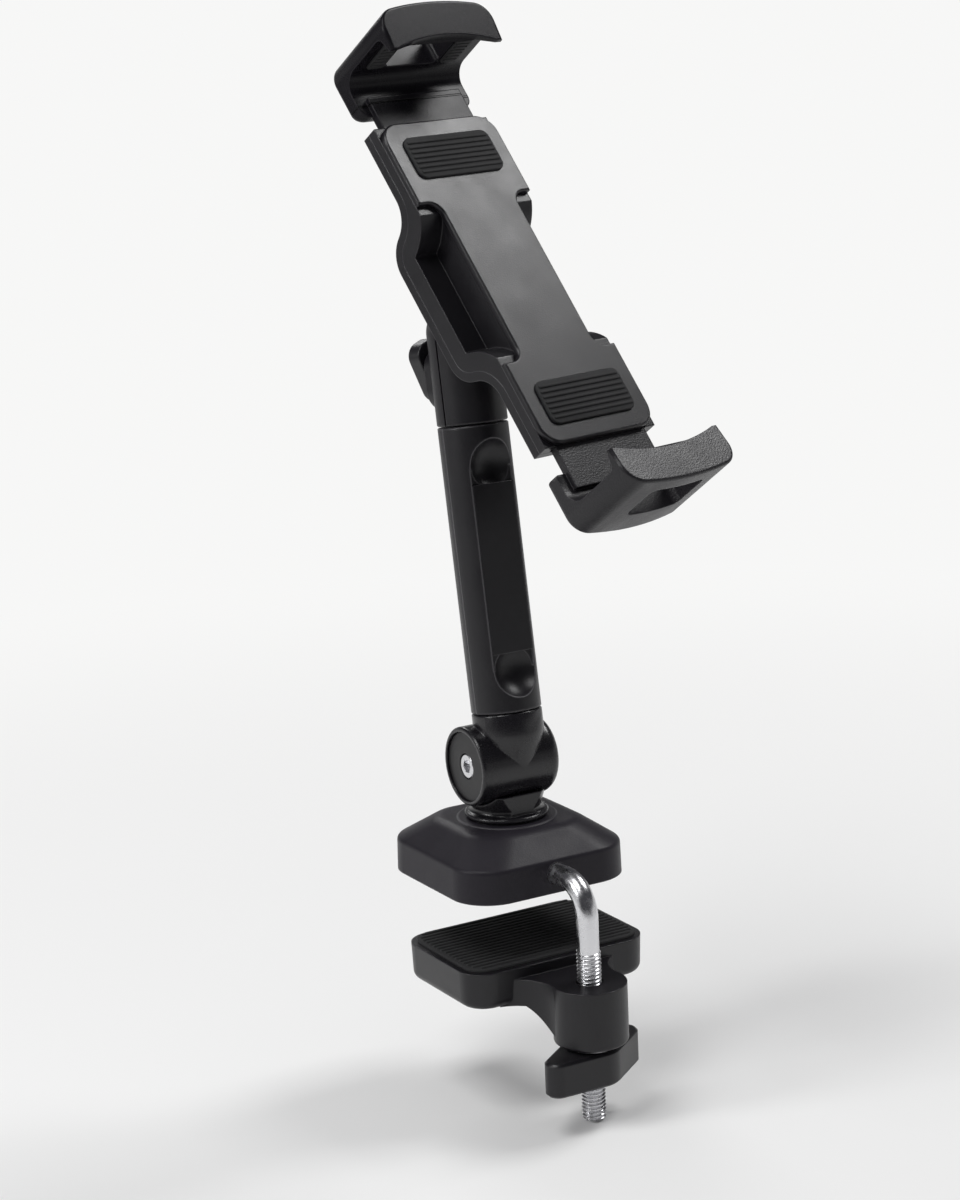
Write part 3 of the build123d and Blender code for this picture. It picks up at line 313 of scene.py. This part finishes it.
def moulded_plastic(name, colour, edge_highlight_colour, rough, grain, depth, gloss, corner=0.0006, line=None):
    """Grained plastic: its colour and the lighter colour of the painted highlight on its corners, its
    roughness, the grain's size and depth in metres, the specular level, the radius of the softened
    corners, and the mould line's frame, level and width."""
    made, tree, shader, place = new_finish(name)
    speckle = noise(tree, place, scale=1 / grain, detail=2.0, rough=0.55)
    pits = node(tree, "TexVoronoi", {"Vector": place, "Scale": 0.8 / grain, "Randomness": 1.0}).outputs[0]
    cloud = noise(tree, place, scale=70.0, detail=4.0, rough=0.6)
    rounded = node(tree, "Bevel", {"Radius": corner}, samples=8).outputs[0]
    true_normal = node(tree, "NewGeometry").outputs["Normal"]
    same = node(tree, "VectorMath", {0: rounded, 1: true_normal}, operation="DOT_PRODUCT").outputs["Value"]
    # Where the Bevel normal turns away from the true one, the colour is mixed towards a lighter one: a
    # painted highlight along edges and corners.
    edge = ranged(tree, same, 0.995, 0.85, to=(0.0, 0.8))
    tint = mix(tree, cloud, toned(colour, 0.8), toned(colour, 1.2))
    colour_with_edge_highlight = mix(tree, edge, tint, toned(edge_highlight_colour))
    shine = ranged(tree, cloud, 0.3, 0.7, to=(rough - 0.04, rough + 0.05))
    fine = maths(tree, "MULTIPLY_ADD", speckle, 0.14, -0.07)
    tree.links.new(maths(tree, "ADD", shine, fine), shader.inputs["Roughness"])
    shader.inputs["Specular IOR Level"].default_value = gloss
    height = maths(tree, "ADD", speckle, pits)
    bump = bumped(tree, height, strength=0.7, distance=depth, normal=rounded)
    if line:
        drawn = mould_line(tree, place, *line)
        colour_with_edge_highlight = mix(tree, drawn, colour_with_edge_highlight, (0.002, 0.002, 0.002, 1))
        bump = bumped(tree, drawn, strength=0.8, distance=0.0002, normal=bump, invert=True)
    tree.links.new(colour_with_edge_highlight, shader.inputs["Base Color"])
    tree.links.new(bump, shader.inputs["Normal"])
    return made


print("plastic recipe ready")

# %% Moulded plastic finishes
INK = (0.0085, 0.0078, 0.0098)
GRAIN_INK = (0.0110, 0.0102, 0.0125)
BASE_INK = (0.018, 0.016, 0.021)
PANEL_INK = (0.0075, 0.0070, 0.0084)
CAP_INK = (0.016, 0.0155, 0.0165)
SLIDER_INK = (0.05, 0.05, 0.052)
# The lighter corner colours below are painted highlights along the rounded edges, brightest on the base and
# the arm.
EDGE_HIGHLIGHT = (0.034, 0.032, 0.037)
BASE_EDGE_HIGHLIGHT = (0.11, 0.107, 0.115)
ARM_EDGE_HIGHLIGHT = (0.14, 0.136, 0.145)
CAP_EDGE_HIGHLIGHT = (0.04, 0.039, 0.042)
SLIDER_EDGE_HIGHLIGHT = (0.08, 0.08, 0.08)
CLAW_LINE = (cradle_place, 0.0682, 0.0004)

black_satin = moulded_plastic("black_satin", INK, EDGE_HIGHLIGHT, rough=0.34, grain=0.00034, depth=0.000022, gloss=0.42)
base_satin = moulded_plastic("base_satin", BASE_INK, BASE_EDGE_HIGHLIGHT, rough=0.42, grain=0.0004, depth=0.000025,
                             gloss=0.2, corner=0.0008)
hinge_satin = moulded_plastic("hinge_satin", INK, EDGE_HIGHLIGHT, rough=0.25, grain=0.00034, depth=0.000014, gloss=0.50,
                              corner=0.0007)
neck_satin = moulded_plastic("neck_satin", INK, EDGE_HIGHLIGHT, rough=0.25, grain=0.00034, depth=0.000014, gloss=0.50,
                             corner=0.0)
arm_satin = moulded_plastic("arm_satin", INK, ARM_EDGE_HIGHLIGHT, rough=0.36, grain=0.00034, depth=0.000022, gloss=0.40,
                            corner=0.0010)
black_grain = moulded_plastic("black_grain", GRAIN_INK, EDGE_HIGHLIGHT, rough=0.40, grain=0.0005, depth=0.000065,
                              gloss=0.42)
lined_satin = moulded_plastic("lined_satin", INK, EDGE_HIGHLIGHT, rough=0.27, grain=0.00034, depth=0.000018, gloss=0.12,
                              line=CLAW_LINE)
black_panel = moulded_plastic("black_panel", PANEL_INK, EDGE_HIGHLIGHT, rough=0.32, grain=0.0003, depth=0.000015,
                              gloss=0.40)
cap_grey = moulded_plastic("cap_grey", CAP_INK, CAP_EDGE_HIGHLIGHT, rough=0.5, grain=0.0004, depth=0.00003, gloss=0.45)
dark_slider = moulded_plastic("dark_slider", SLIDER_INK, SLIDER_EDGE_HIGHLIGHT, rough=0.45, grain=0.0004, depth=0.00002,
                              gloss=0.4)
print("finishes so far:", ", ".join(m.name for m in bpy.data.materials))

# %% [markdown]
# ## Metals and rubber
# The rod is bright plated steel with faint drawing lines along it and a dull mottle in the plating. Screws
# and washers are plain zinc, the insert is turned brass, and the pads are matte rubber with a soft bloom.

# %% Metal and rubber finishes
def plated_metal(name, colour, rough, mottle, lines):
    """Plated metal: its colour and roughness, how far the plating mottles it, the drawing lines' stretch."""
    made, tree, shader, place = new_finish(name)
    drawn = node(tree, "Mapping", {"Vector": place, "Scale": lines}).outputs[0]
    streak = noise(tree, drawn, scale=1500.0, detail=3.0)
    patch = noise(tree, place, scale=260.0, detail=5.0, rough=0.65)
    rounded = node(tree, "Bevel", {"Radius": 0.0002}, samples=4).outputs[0]
    bump = bumped(tree, streak, strength=0.25, distance=0.00001, normal=rounded)
    shader.inputs["Metallic"].default_value = 1.0
    tree.links.new(mix(tree, patch, toned(colour, 0.82), toned(colour)), shader.inputs["Base Color"])
    tree.links.new(ranged(tree, patch, 0.35, 0.7, to=(rough, rough + mottle)), shader.inputs["Roughness"])
    tree.links.new(bump, shader.inputs["Normal"])
    return made


def soft_rubber(name, colour):
    """Matte rubber with a fine bloom on it."""
    made, tree, shader, place = new_finish(name)
    bloom = noise(tree, place, scale=900.0, detail=4.0, rough=0.7)
    dust = noise(tree, place, scale=120.0, detail=3.0)
    rounded = node(tree, "Bevel", {"Radius": 0.0004}, samples=4).outputs[0]
    bump = bumped(tree, bloom, strength=0.4, distance=0.00004, normal=rounded)
    tree.links.new(mix(tree, dust, toned(colour, 0.8), toned(colour, 1.25)), shader.inputs["Base Color"])
    tree.links.new(ranged(tree, bloom, 0.0, 1.0, to=(0.72, 0.92)), shader.inputs["Roughness"])
    tree.links.new(bump, shader.inputs["Normal"])
    return made


bright_rod = plated_metal("bright_rod", (0.78, 0.78, 0.80), rough=0.16, mottle=0.22, lines=(1.0, 1.0, 0.03))
zinc_steel = plated_metal("zinc_steel", (0.55, 0.55, 0.57), rough=0.28, mottle=0.18, lines=(1.0, 1.0, 1.0))
turned_brass = plated_metal("turned_brass", (0.72, 0.53, 0.24), rough=0.25, mottle=0.15,
                            lines=(1.0, 0.05, 1.0))
pad_rubber = soft_rubber("pad_rubber", (0.02, 0.02, 0.021))
print("metals and rubber:", bright_rod.name, zinc_steel.name, turned_brass.name, pad_rubber.name)

# %% [markdown]
# ## Dressing the CAD pieces
# Each CAD node keeps its mesh and gets the finish of its own material slot. Some differ a little from the
# rest: the base is greyer and duller with a bright painted highlight on its corners, the hinge is smoother,
# the arm's shells have a bright painted highlight on their corners and a smoother panel, the disc in the
# hinge's end is greyer, the lower claw's grain is coarser, and the upper claw is smooth and dull.

# %% Give every CAD node its finish
by_slot = {"black_plastic": black_satin, "steel": zinc_steel, "rod_chrome": bright_rod, "rubber": pad_rubber,
           "brass": turned_brass, "friction_plastic": dark_slider}
special = {"base_housing": base_satin, "knuckle": hinge_satin, "swivel_post": hinge_satin,
           "arm_panel": black_panel, "knuckle_cap": cap_grey, "arm_front_shell": arm_satin,
           "arm_rear_shell": arm_satin, "upper_claw": lined_satin, "lower_claw": black_grain}
for part in frame["record"]["subparts"]:
    shown = frame["nodes"][part["node"]]
    shown.data.materials.clear()
    shown.data.materials.append(special.get(part["node"], by_slot[part["material_slot"]]))

# %% [markdown]
# ## Helpers for meshes
# Every piece that is built below ends the same way: doubles merged, faces turned outwards, smooth shading
# except over sharp corners, a finish, and the body that it rides on. Round pieces also start the same way, as
# a line of points that is spun round an upright axis.

# %% Hand a mesh over as a finished piece
SAME_SPOT = 0.000001
SHARP_CORNER = 38


def hand_over(mesh_in_work, name, finish, body, stands_for=()):
    """Makes an object of a mesh, with its finish, its body and the CAD nodes it stands for."""
    bmesh.ops.remove_doubles(mesh_in_work, verts=mesh_in_work.verts, dist=SAME_SPOT)
    bmesh.ops.recalc_face_normals(mesh_in_work, faces=mesh_in_work.faces)
    mesh = bpy.data.meshes.new(name)
    mesh_in_work.to_mesh(mesh)
    mesh_in_work.free()
    mesh.shade_smooth()
    mesh.set_sharp_from_angle(angle=radians(SHARP_CORNER))
    mesh.materials.append(finish)
    made = bpy.data.objects.new(name, mesh)
    bpy.context.scene.collection.objects.link(made)
    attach(made, body)
    if stands_for:
        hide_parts(*stands_for)
    print(name, "faces:", len(mesh.polygons), "rides on", body)
    return made


print("pieces are merged at", SAME_SPOT, "m and sharp over", SHARP_CORNER, "degrees")

# %% Spin, cut and pick
def corners(result):
    """The vertices in what a bmesh operator gives back."""
    return [item for item in result if isinstance(item, bmesh.types.BMVert)]


def sides(result):
    """The edges in what a bmesh operator gives back."""
    return [item for item in result if isinstance(item, bmesh.types.BMEdge)]


def spun(mesh_in_work, points, steps, centre=(0, 0, 0), angle=2 * pi, climb=0.0, closed=True):
    """Spins a line of points round an upright axis, where each step may also climb a little."""
    row = [mesh_in_work.verts.new(point) for point in points]
    line = [mesh_in_work.edges.new(pair) for pair in zip(row, row[1:])]
    bmesh.ops.spin(mesh_in_work, geom=row + line, cent=centre, axis=(0, 0, 1), angle=angle, steps=steps,
                   use_merge=closed, dvec=(0, 0, climb))


def cut_away(mesh_in_work, point, outward):
    """Cuts a mesh at a plane and clears what lies outside it."""
    everything = mesh_in_work.verts[:] + mesh_in_work.edges[:] + mesh_in_work.faces[:]
    bmesh.ops.bisect_plane(mesh_in_work, geom=everything, plane_co=point, plane_no=outward, clear_outer=True)


print("mesh helpers ready")

# %% [markdown]
# ## The hook rod
# The real rod is one bar: it comes out of the base, bends down and carries a rolled M8 thread. The shank is a
# ring that is pulled out, spun round the bend and pulled down. The thread is one pitch of a rounded tooth,
# spun along a helix: each step of the spin also climbs by a share of the pitch.

# %% Rod shank
ROD_RADIUS = 0.00355
ROD_HEIGHT = 0.0071
ROD_START = -0.0115
ROD_Y = -0.0477
ROD_BEND = 0.0105
THREAD_FOOT = -0.0705
THREAD_TOP = -0.0135
SHANK_OVERLAP = 0.002

rod = bmesh.new()
ring = bmesh.ops.create_circle(rod, cap_ends=True, segments=48, radius=ROD_RADIUS)["verts"]
bmesh.ops.rotate(rod, verts=ring, cent=(0, 0, 0), matrix=Matrix.Rotation(radians(90), 3, "X"))
bmesh.ops.translate(rod, verts=ring, vec=(0, ROD_START, ROD_HEIGHT))
step = bmesh.ops.extrude_edge_only(rod, edges=rod.edges[:])["geom"]
bmesh.ops.translate(rod, verts=corners(step), vec=(0, ROD_Y + ROD_BEND - ROD_START, 0))
bend_centre = (0, ROD_Y + ROD_BEND, ROD_HEIGHT - ROD_BEND)
bend = bmesh.ops.spin(rod, geom=sides(step) + corners(step), cent=bend_centre, axis=(1, 0, 0),
                      angle=radians(90), steps=20, use_merge=False, dvec=(0, 0, 0))["geom_last"]
step = bmesh.ops.extrude_edge_only(rod, edges=sides(bend))["geom"]
drop = THREAD_TOP - SHANK_OVERLAP - (ROD_HEIGHT - ROD_BEND)
bmesh.ops.translate(rod, verts=corners(step), vec=(0, 0, drop))
bmesh.ops.edgeloop_fill(rod, edges=[e for e in sides(step) if e.is_boundary])
hand_over(rod, "rod_shank", bright_rod, "base", ["hook_rod"])

# %% Rolled thread
PITCH = 0.00125
CREST = 0.00395
CREST_ROUND = 0.0001
ROOT = 0.00334
STEPS_PER_TURN = 36
FOOT_CHAMFER = 0.0008
TOP_CHAMFER = 0.0003
ON_LEVEL = 0.00002

turns = int((THREAD_TOP - THREAD_FOOT) / PITCH) + 3
tooth = [(ROOT, 0.0), (ROOT, 0.12), (CREST - CREST_ROUND, 0.44), (CREST, 0.5), (CREST - CREST_ROUND, 0.56),
         (ROOT, 0.88), (ROOT, 1.0)]
thread = bmesh.new()
spun(thread, [(reach, ROD_Y, THREAD_FOOT + PITCH * (share - 1.5)) for reach, share in tooth],
     steps=STEPS_PER_TURN * turns, centre=(0, ROD_Y, 0), angle=2 * pi * turns, climb=PITCH / STEPS_PER_TURN,
     closed=False)
bmesh.ops.remove_doubles(thread, verts=thread.verts, dist=2 * SAME_SPOT)
thread_ends = ((THREAD_FOOT + FOOT_CHAMFER, -1, FOOT_CHAMFER, 0.8),
               (THREAD_TOP - TOP_CHAMFER, 1, TOP_CHAMFER, 0.92))
for level, outward, _, _ in thread_ends:
    cut_away(thread, (0, 0, level), (0, 0, outward))
for level, outward, chamfer, share in thread_ends:
    rim = [e for e in thread.edges if e.is_boundary and all(abs(v.co.z - level) < ON_LEVEL for v in e.verts)]
    lip = bmesh.ops.extrude_edge_only(thread, edges=rim)["geom"]
    bmesh.ops.scale(thread, verts=corners(lip), vec=(share, share, 1), space=shifted(0, -ROD_Y, 0))
    bmesh.ops.translate(thread, verts=corners(lip), vec=(0, 0, outward * chamfer))
    bmesh.ops.edgeloop_fill(thread, edges=sides(lip))
hand_over(thread, "rod_thread", bright_rod, "base")

# %% [markdown]
# ## Claws with a slanting lip
# On the real claws the lip thins out towards its free edge, so the lower lip looks up into the light while
# the upper one looks down. A merged copy of each CAD claw is the start, and the corners of its lip's front
# move in by a share of their distance from the outer edge. Its wide plane faces are then shaded flat.

# %% Slanting lips
LIP_FRONT = 0.0564
LIP_ROUND = 0.0011
LIP_SLOPE = 0.14
FRONT_REACH = 0.00005
WIDE_AREA = 0.00006


def shade_planes_flat(mesh):
    """Shades the faces flat that lie together in one wide plane."""
    planes = {}
    for face in mesh.polygons:
        plane = (*(round(part, 3) for part in face.normal), round(face.normal.dot(face.center), 5))
        planes.setdefault(plane, []).append(face)
    for faces in planes.values():
        wide = sum(face.area for face in faces) > WIDE_AREA
        for face in faces:
            face.use_smooth = not wide


def slanting_claw(node_name, name, place, body, finish):
    """Copies a CAD claw and slants the front of its lip."""
    claw = bmesh.new()
    claw.from_mesh(frame["nodes"][node_name].data)
    bmesh.ops.remove_doubles(claw, verts=claw.verts, dist=SAME_SPOT)
    inward = place.inverted()
    own_spots = [inward @ corner.co for corner in claw.verts]
    outer = max(own.y for own in own_spots if own.z > LIP_FRONT - FRONT_REACH)
    for corner, own in zip(claw.verts, own_spots):
        if own.z > LIP_FRONT - LIP_ROUND and own.y < outer:
            own.z -= LIP_SLOPE * (outer - own.y)
            corner.co = place @ own
    made = hand_over(claw, name, finish, body, [node_name])
    shade_planes_flat(made.data)


slanting_claw("upper_claw", "upper_hook", cradle_place, "claw_up", lined_satin)
slanting_claw("lower_claw", "lower_hook", lower_place, "claw_low", black_grain)

# %% [markdown]
# ## The neck's long foot
# The neck runs down over the front of the hinge barrel and dies into it without a hard line. The CAD neck
# ends in a plain ball. Here its outline is spun with a longer foot, which eases out until it lies along the
# barrel's front, and only its front is kept, because the back has to leave room for the hinge inside.

# %% Neck foot
NECK_RADIUS = 0.01141
NECK_RIM = ((0.0007, 0.01645), (0.0002, 0.01625), (0.0, 0.0158))
BARREL_RADIUS = 0.01302
EASE_TOP = 0.0098
EASE_FOOT = -0.002
EASE_STEPS = 16
CURL = 60
CURL_STEP = 0.001
FOOT_END = -0.009
KEPT_FRONT = 0.0093

outline = [(0, NECK_RIM[0][1])] + [(NECK_RADIUS - inset, up) for inset, up in NECK_RIM]
barrel_front = sqrt(BARREL_RADIUS ** 2 - EASE_FOOT ** 2)
meets = barrel_front - NECK_OFFSET
lean = -EASE_FOOT / barrel_front
drop = EASE_TOP - EASE_FOOT
for step in range(EASE_STEPS + 1):
    down = step / EASE_STEPS
    ease = 3 * down ** 2 - 2 * down ** 3
    tail = (down ** 2 - down ** 3) * lean * drop
    outline.append((NECK_RADIUS + ease * (meets - NECK_RADIUS) + tail, EASE_TOP - down * drop))
for step in range(1, 8):
    below = CURL_STEP * step
    outline.append((meets - lean * below - CURL * below ** 2, EASE_FOOT - below))
outline.append((0, FOOT_END))

neck = bmesh.new()
spun(neck, [(0, -out, up) for out, up in outline], steps=72)
cut_away(neck, (0, NECK_OFFSET - KEPT_FRONT, 0), (0, 1, 0))
bmesh.ops.holes_fill(neck, edges=[e for e in neck.edges if e.is_boundary])
bmesh.ops.transform(neck, matrix=arm_place @ shifted(0, -NECK_OFFSET, 0), verts=neck.verts)
hand_over(neck, "neck_foot", neck_satin, "arm")

# %% [markdown]
# ## Screws with a cross slot
# The arm's shells and the cradle's cover are held by small pan-head screws, which the CAD has as plain
# cylinders. The body of a screw is a line of corners spun round its axis. Its slot starts as a small grid
# without its four corner squares, which is a cross: that is the slot's floor, its rim is pulled up and
# widened for the slanting walls, and the ring between the cross and the head's edge is filled.

# %% A cross-slot screw
ON_TOP = 0.0000001
OFF_MIDDLE = 0.00001


def cross_screw(mesh_in_work, place, shank, length, head, height):
    """Adds one screw whose head stands up from the place's origin along its own Z."""
    outline = [(0.0, -length), (0.6 * shank, -length), (shank, -length + 0.4 * shank), (shank, 0.0),
               (head, 0.0), (head, 0.55 * height), (0.94 * head, 0.85 * height), (0.80 * head, height)]
    before = set(mesh_in_work.verts)
    spun(mesh_in_work, [(out, 0, up) for out, up in outline], steps=32)
    top = [e for e in mesh_in_work.edges if e.is_boundary and not (set(e.verts) & before)
           and all(abs(v.co.z - height) < ON_TOP for v in e.verts)]
    slot = bmesh.ops.create_grid(mesh_in_work, x_segments=3, y_segments=3, size=0.42 * head,
                                 matrix=shifted(0, 0, 0.25 * height))["verts"]
    squares = {f for v in slot for f in v.link_faces}
    in_corners = [f for f in squares if min(abs(part) for part in f.calc_center_median().xy) > OFF_MIDDLE]
    bmesh.ops.delete(mesh_in_work, geom=in_corners, context="FACES")
    rim = [e for e in {e for v in slot if v.is_valid for e in v.link_edges} if e.is_boundary]
    lip = bmesh.ops.extrude_edge_only(mesh_in_work, edges=rim)["geom"]
    bmesh.ops.translate(mesh_in_work, verts=corners(lip), vec=(0, 0, 0.75 * height))
    bmesh.ops.scale(mesh_in_work, verts=corners(lip), vec=(1.45, 1.45, 1))
    bmesh.ops.triangle_fill(mesh_in_work, use_beauty=True, edges=top + sides(lip))
    fresh = [v for v in mesh_in_work.verts if v not in before]
    bmesh.ops.transform(mesh_in_work, matrix=place, verts=fresh)


print("screw recipe ready")

# %% [markdown]
# ## The screws in their places
# A screw's slot stops wherever the screw is tight. So each one is turned by a little sum of its own place, in
# radians to the metre, and no two of them line up.

# %% Screws of the shells and the cover
SHELL_SCREW_PITCH = 0.024
SHELL_SCREW_SEAT = 0.0082
COVER_SCREW_OUT = 0.0217
COVER_SCREW_UP = 0.047
COVER_SCREW_SEAT = 0.0269
SHELL_SLOT_TURN = 90
COVER_SLOT_TURNS = (30, 20)

screws = bmesh.new()
for step in (-1, 0, 1):
    height = SHAFT_LENGTH / 2 + step * SHELL_SCREW_PITCH
    slot_turn = Matrix.Rotation(SHELL_SLOT_TURN * height, 4, "Z")
    seat = shaft_place @ shifted(0, SHELL_SCREW_SEAT, height) @ turned(-90, "X") @ slot_turn
    cross_screw(screws, seat, shank=0.00128, length=0.0140, head=0.0027, height=0.0018)
hand_over(screws, "shell_screws", zinc_steel, "arm", ["arm_screws"])

screws = bmesh.new()
for up in (-COVER_SCREW_UP, COVER_SCREW_UP):
    for out in (-COVER_SCREW_OUT, COVER_SCREW_OUT):
        slot_turn = Matrix.Rotation(COVER_SLOT_TURNS[0] * out + COVER_SLOT_TURNS[1] * up, 4, "Z")
        seat = cradle_place @ shifted(out, up, COVER_SCREW_SEAT) @ turned(180, "X") @ slot_turn
        cross_screw(screws, seat, shank=0.00108, length=0.0046, head=0.0020, height=0.0012)
hand_over(screws, "cover_screws", zinc_steel, "cradle", ["cradle_screws"])

# %% [markdown]
# ## Ribbed rubber
# The rubber isn't smooth: it has low ribs that grip. A slab is one flat face with rounded corners that is
# pulled up to a little under the full thickness, and the ribs are bevelled bars that stand on it up to the
# full thickness, each a bit shorter where the slab's corner cuts in.

# %% A slab with ribs
def ribbed_slab(mesh_in_work, place, width, length, corner, thickness, pitch, rib):
    """Adds a rounded slab whose ribs run along its own X and stand up to its thickness."""
    before = set(mesh_in_work.verts)
    bmesh.ops.create_grid(mesh_in_work, x_segments=1, y_segments=1, size=0.5)
    flat = [v for v in mesh_in_work.verts if v not in before]
    bmesh.ops.scale(mesh_in_work, verts=flat, vec=(width, length, 1))
    bmesh.ops.bevel(mesh_in_work, geom=flat, offset=corner, offset_type="OFFSET", segments=8, profile=0.5,
                    affect="VERTICES", material=-1)
    sheet = [f for f in mesh_in_work.faces if not (set(f.verts) & before)]
    top = bmesh.ops.extrude_face_region(mesh_in_work, geom=sheet)["geom"]
    bmesh.ops.translate(mesh_in_work, verts=corners(top), vec=(0, 0, thickness - 0.5 * rib))
    upper = [f for f in top if isinstance(f, bmesh.types.BMFace)]
    bmesh.ops.bevel(mesh_in_work, geom=[e for f in upper for e in f.edges], offset=0.25 * rib, segments=2,
                    profile=0.5, affect="EDGES", material=-1)
    count = int((length - 0.8 * pitch) / pitch)
    for step in range(count):
        y = (step - (count - 1) / 2) * pitch
        into_corner = max(0.0, abs(y) + 0.5 * rib - (length / 2 - corner))
        cut = corner - sqrt(max(0.0, corner ** 2 - into_corner ** 2))
        bar = bmesh.ops.create_cube(mesh_in_work, size=1.0)["verts"]
        bmesh.ops.scale(mesh_in_work, verts=bar, vec=(width - 2 * cut - 2 * rib, rib, 0.8 * thickness))
        bmesh.ops.translate(mesh_in_work, verts=bar, vec=(0, y, 0.6 * thickness))
        bmesh.ops.bevel(mesh_in_work, geom=list({e for v in bar for e in v.link_edges}), offset=0.22 * rib,
                        segments=2, profile=0.5, affect="EDGES", material=-1)
    fresh = [v for v in mesh_in_work.verts if v not in before]
    bmesh.ops.transform(mesh_in_work, matrix=place, verts=fresh)


print("slab recipe ready")

# %% Ribbed rubber of the clamp
JAW_PAD_SPOT = (0, -0.0089, -0.0206)
BASE_PAD_THICKNESS = 0.0015

slab = bmesh.new()
ribbed_slab(slab, shifted(*JAW_PAD_SPOT), width=0.063, length=0.043, corner=0.007, thickness=0.0016,
            pitch=0.0024, rib=0.0011)
hand_over(slab, "jaw_rubber", pad_rubber, "jaw", ["jaw_pad"])

slab = bmesh.new()
ribbed_slab(slab, shifted(0, 0, BASE_PAD_THICKNESS) @ turned(180, "X"), width=0.0551, length=0.0551,
            corner=0.01105, thickness=BASE_PAD_THICKNESS, pitch=0.0026, rib=0.0012)
hand_over(slab, "base_rubber", pad_rubber, "base", ["base_pad"])

# %% Ribbed rubber in the cradle
REST_UP = 0.045
REST_SEAT = 0.0336
GRIP_SPOT = Vector((0.0155, 0.0782, 0.0424))

slab = bmesh.new()
for up in (REST_UP, -REST_UP):
    ribbed_slab(slab, cradle_place @ shifted(0, up, REST_SEAT), width=0.036, length=0.015, corner=0.003,
                thickness=0.0012, pitch=0.0018, rib=0.0008)
hand_over(slab, "rest_rubber", pad_rubber, "cradle", ["cradle_pads"])

for claw_place, name, body, node_name in ((cradle_place, "upper_grip", "claw_up", "upper_lining"),
                                          (lower_place, "lower_grip", "claw_low", "lower_lining")):
    slab = bmesh.new()
    for side in (-1, 1):
        seat = claw_place @ shifted(side * GRIP_SPOT.x, GRIP_SPOT.y, GRIP_SPOT.z) @ turned(90, "X")
        ribbed_slab(slab, seat, width=0.007, length=0.0132, corner=0.0012, thickness=0.0010, pitch=0.0016,
                    rib=0.0007)
    hand_over(slab, name, pad_rubber, body, [node_name])
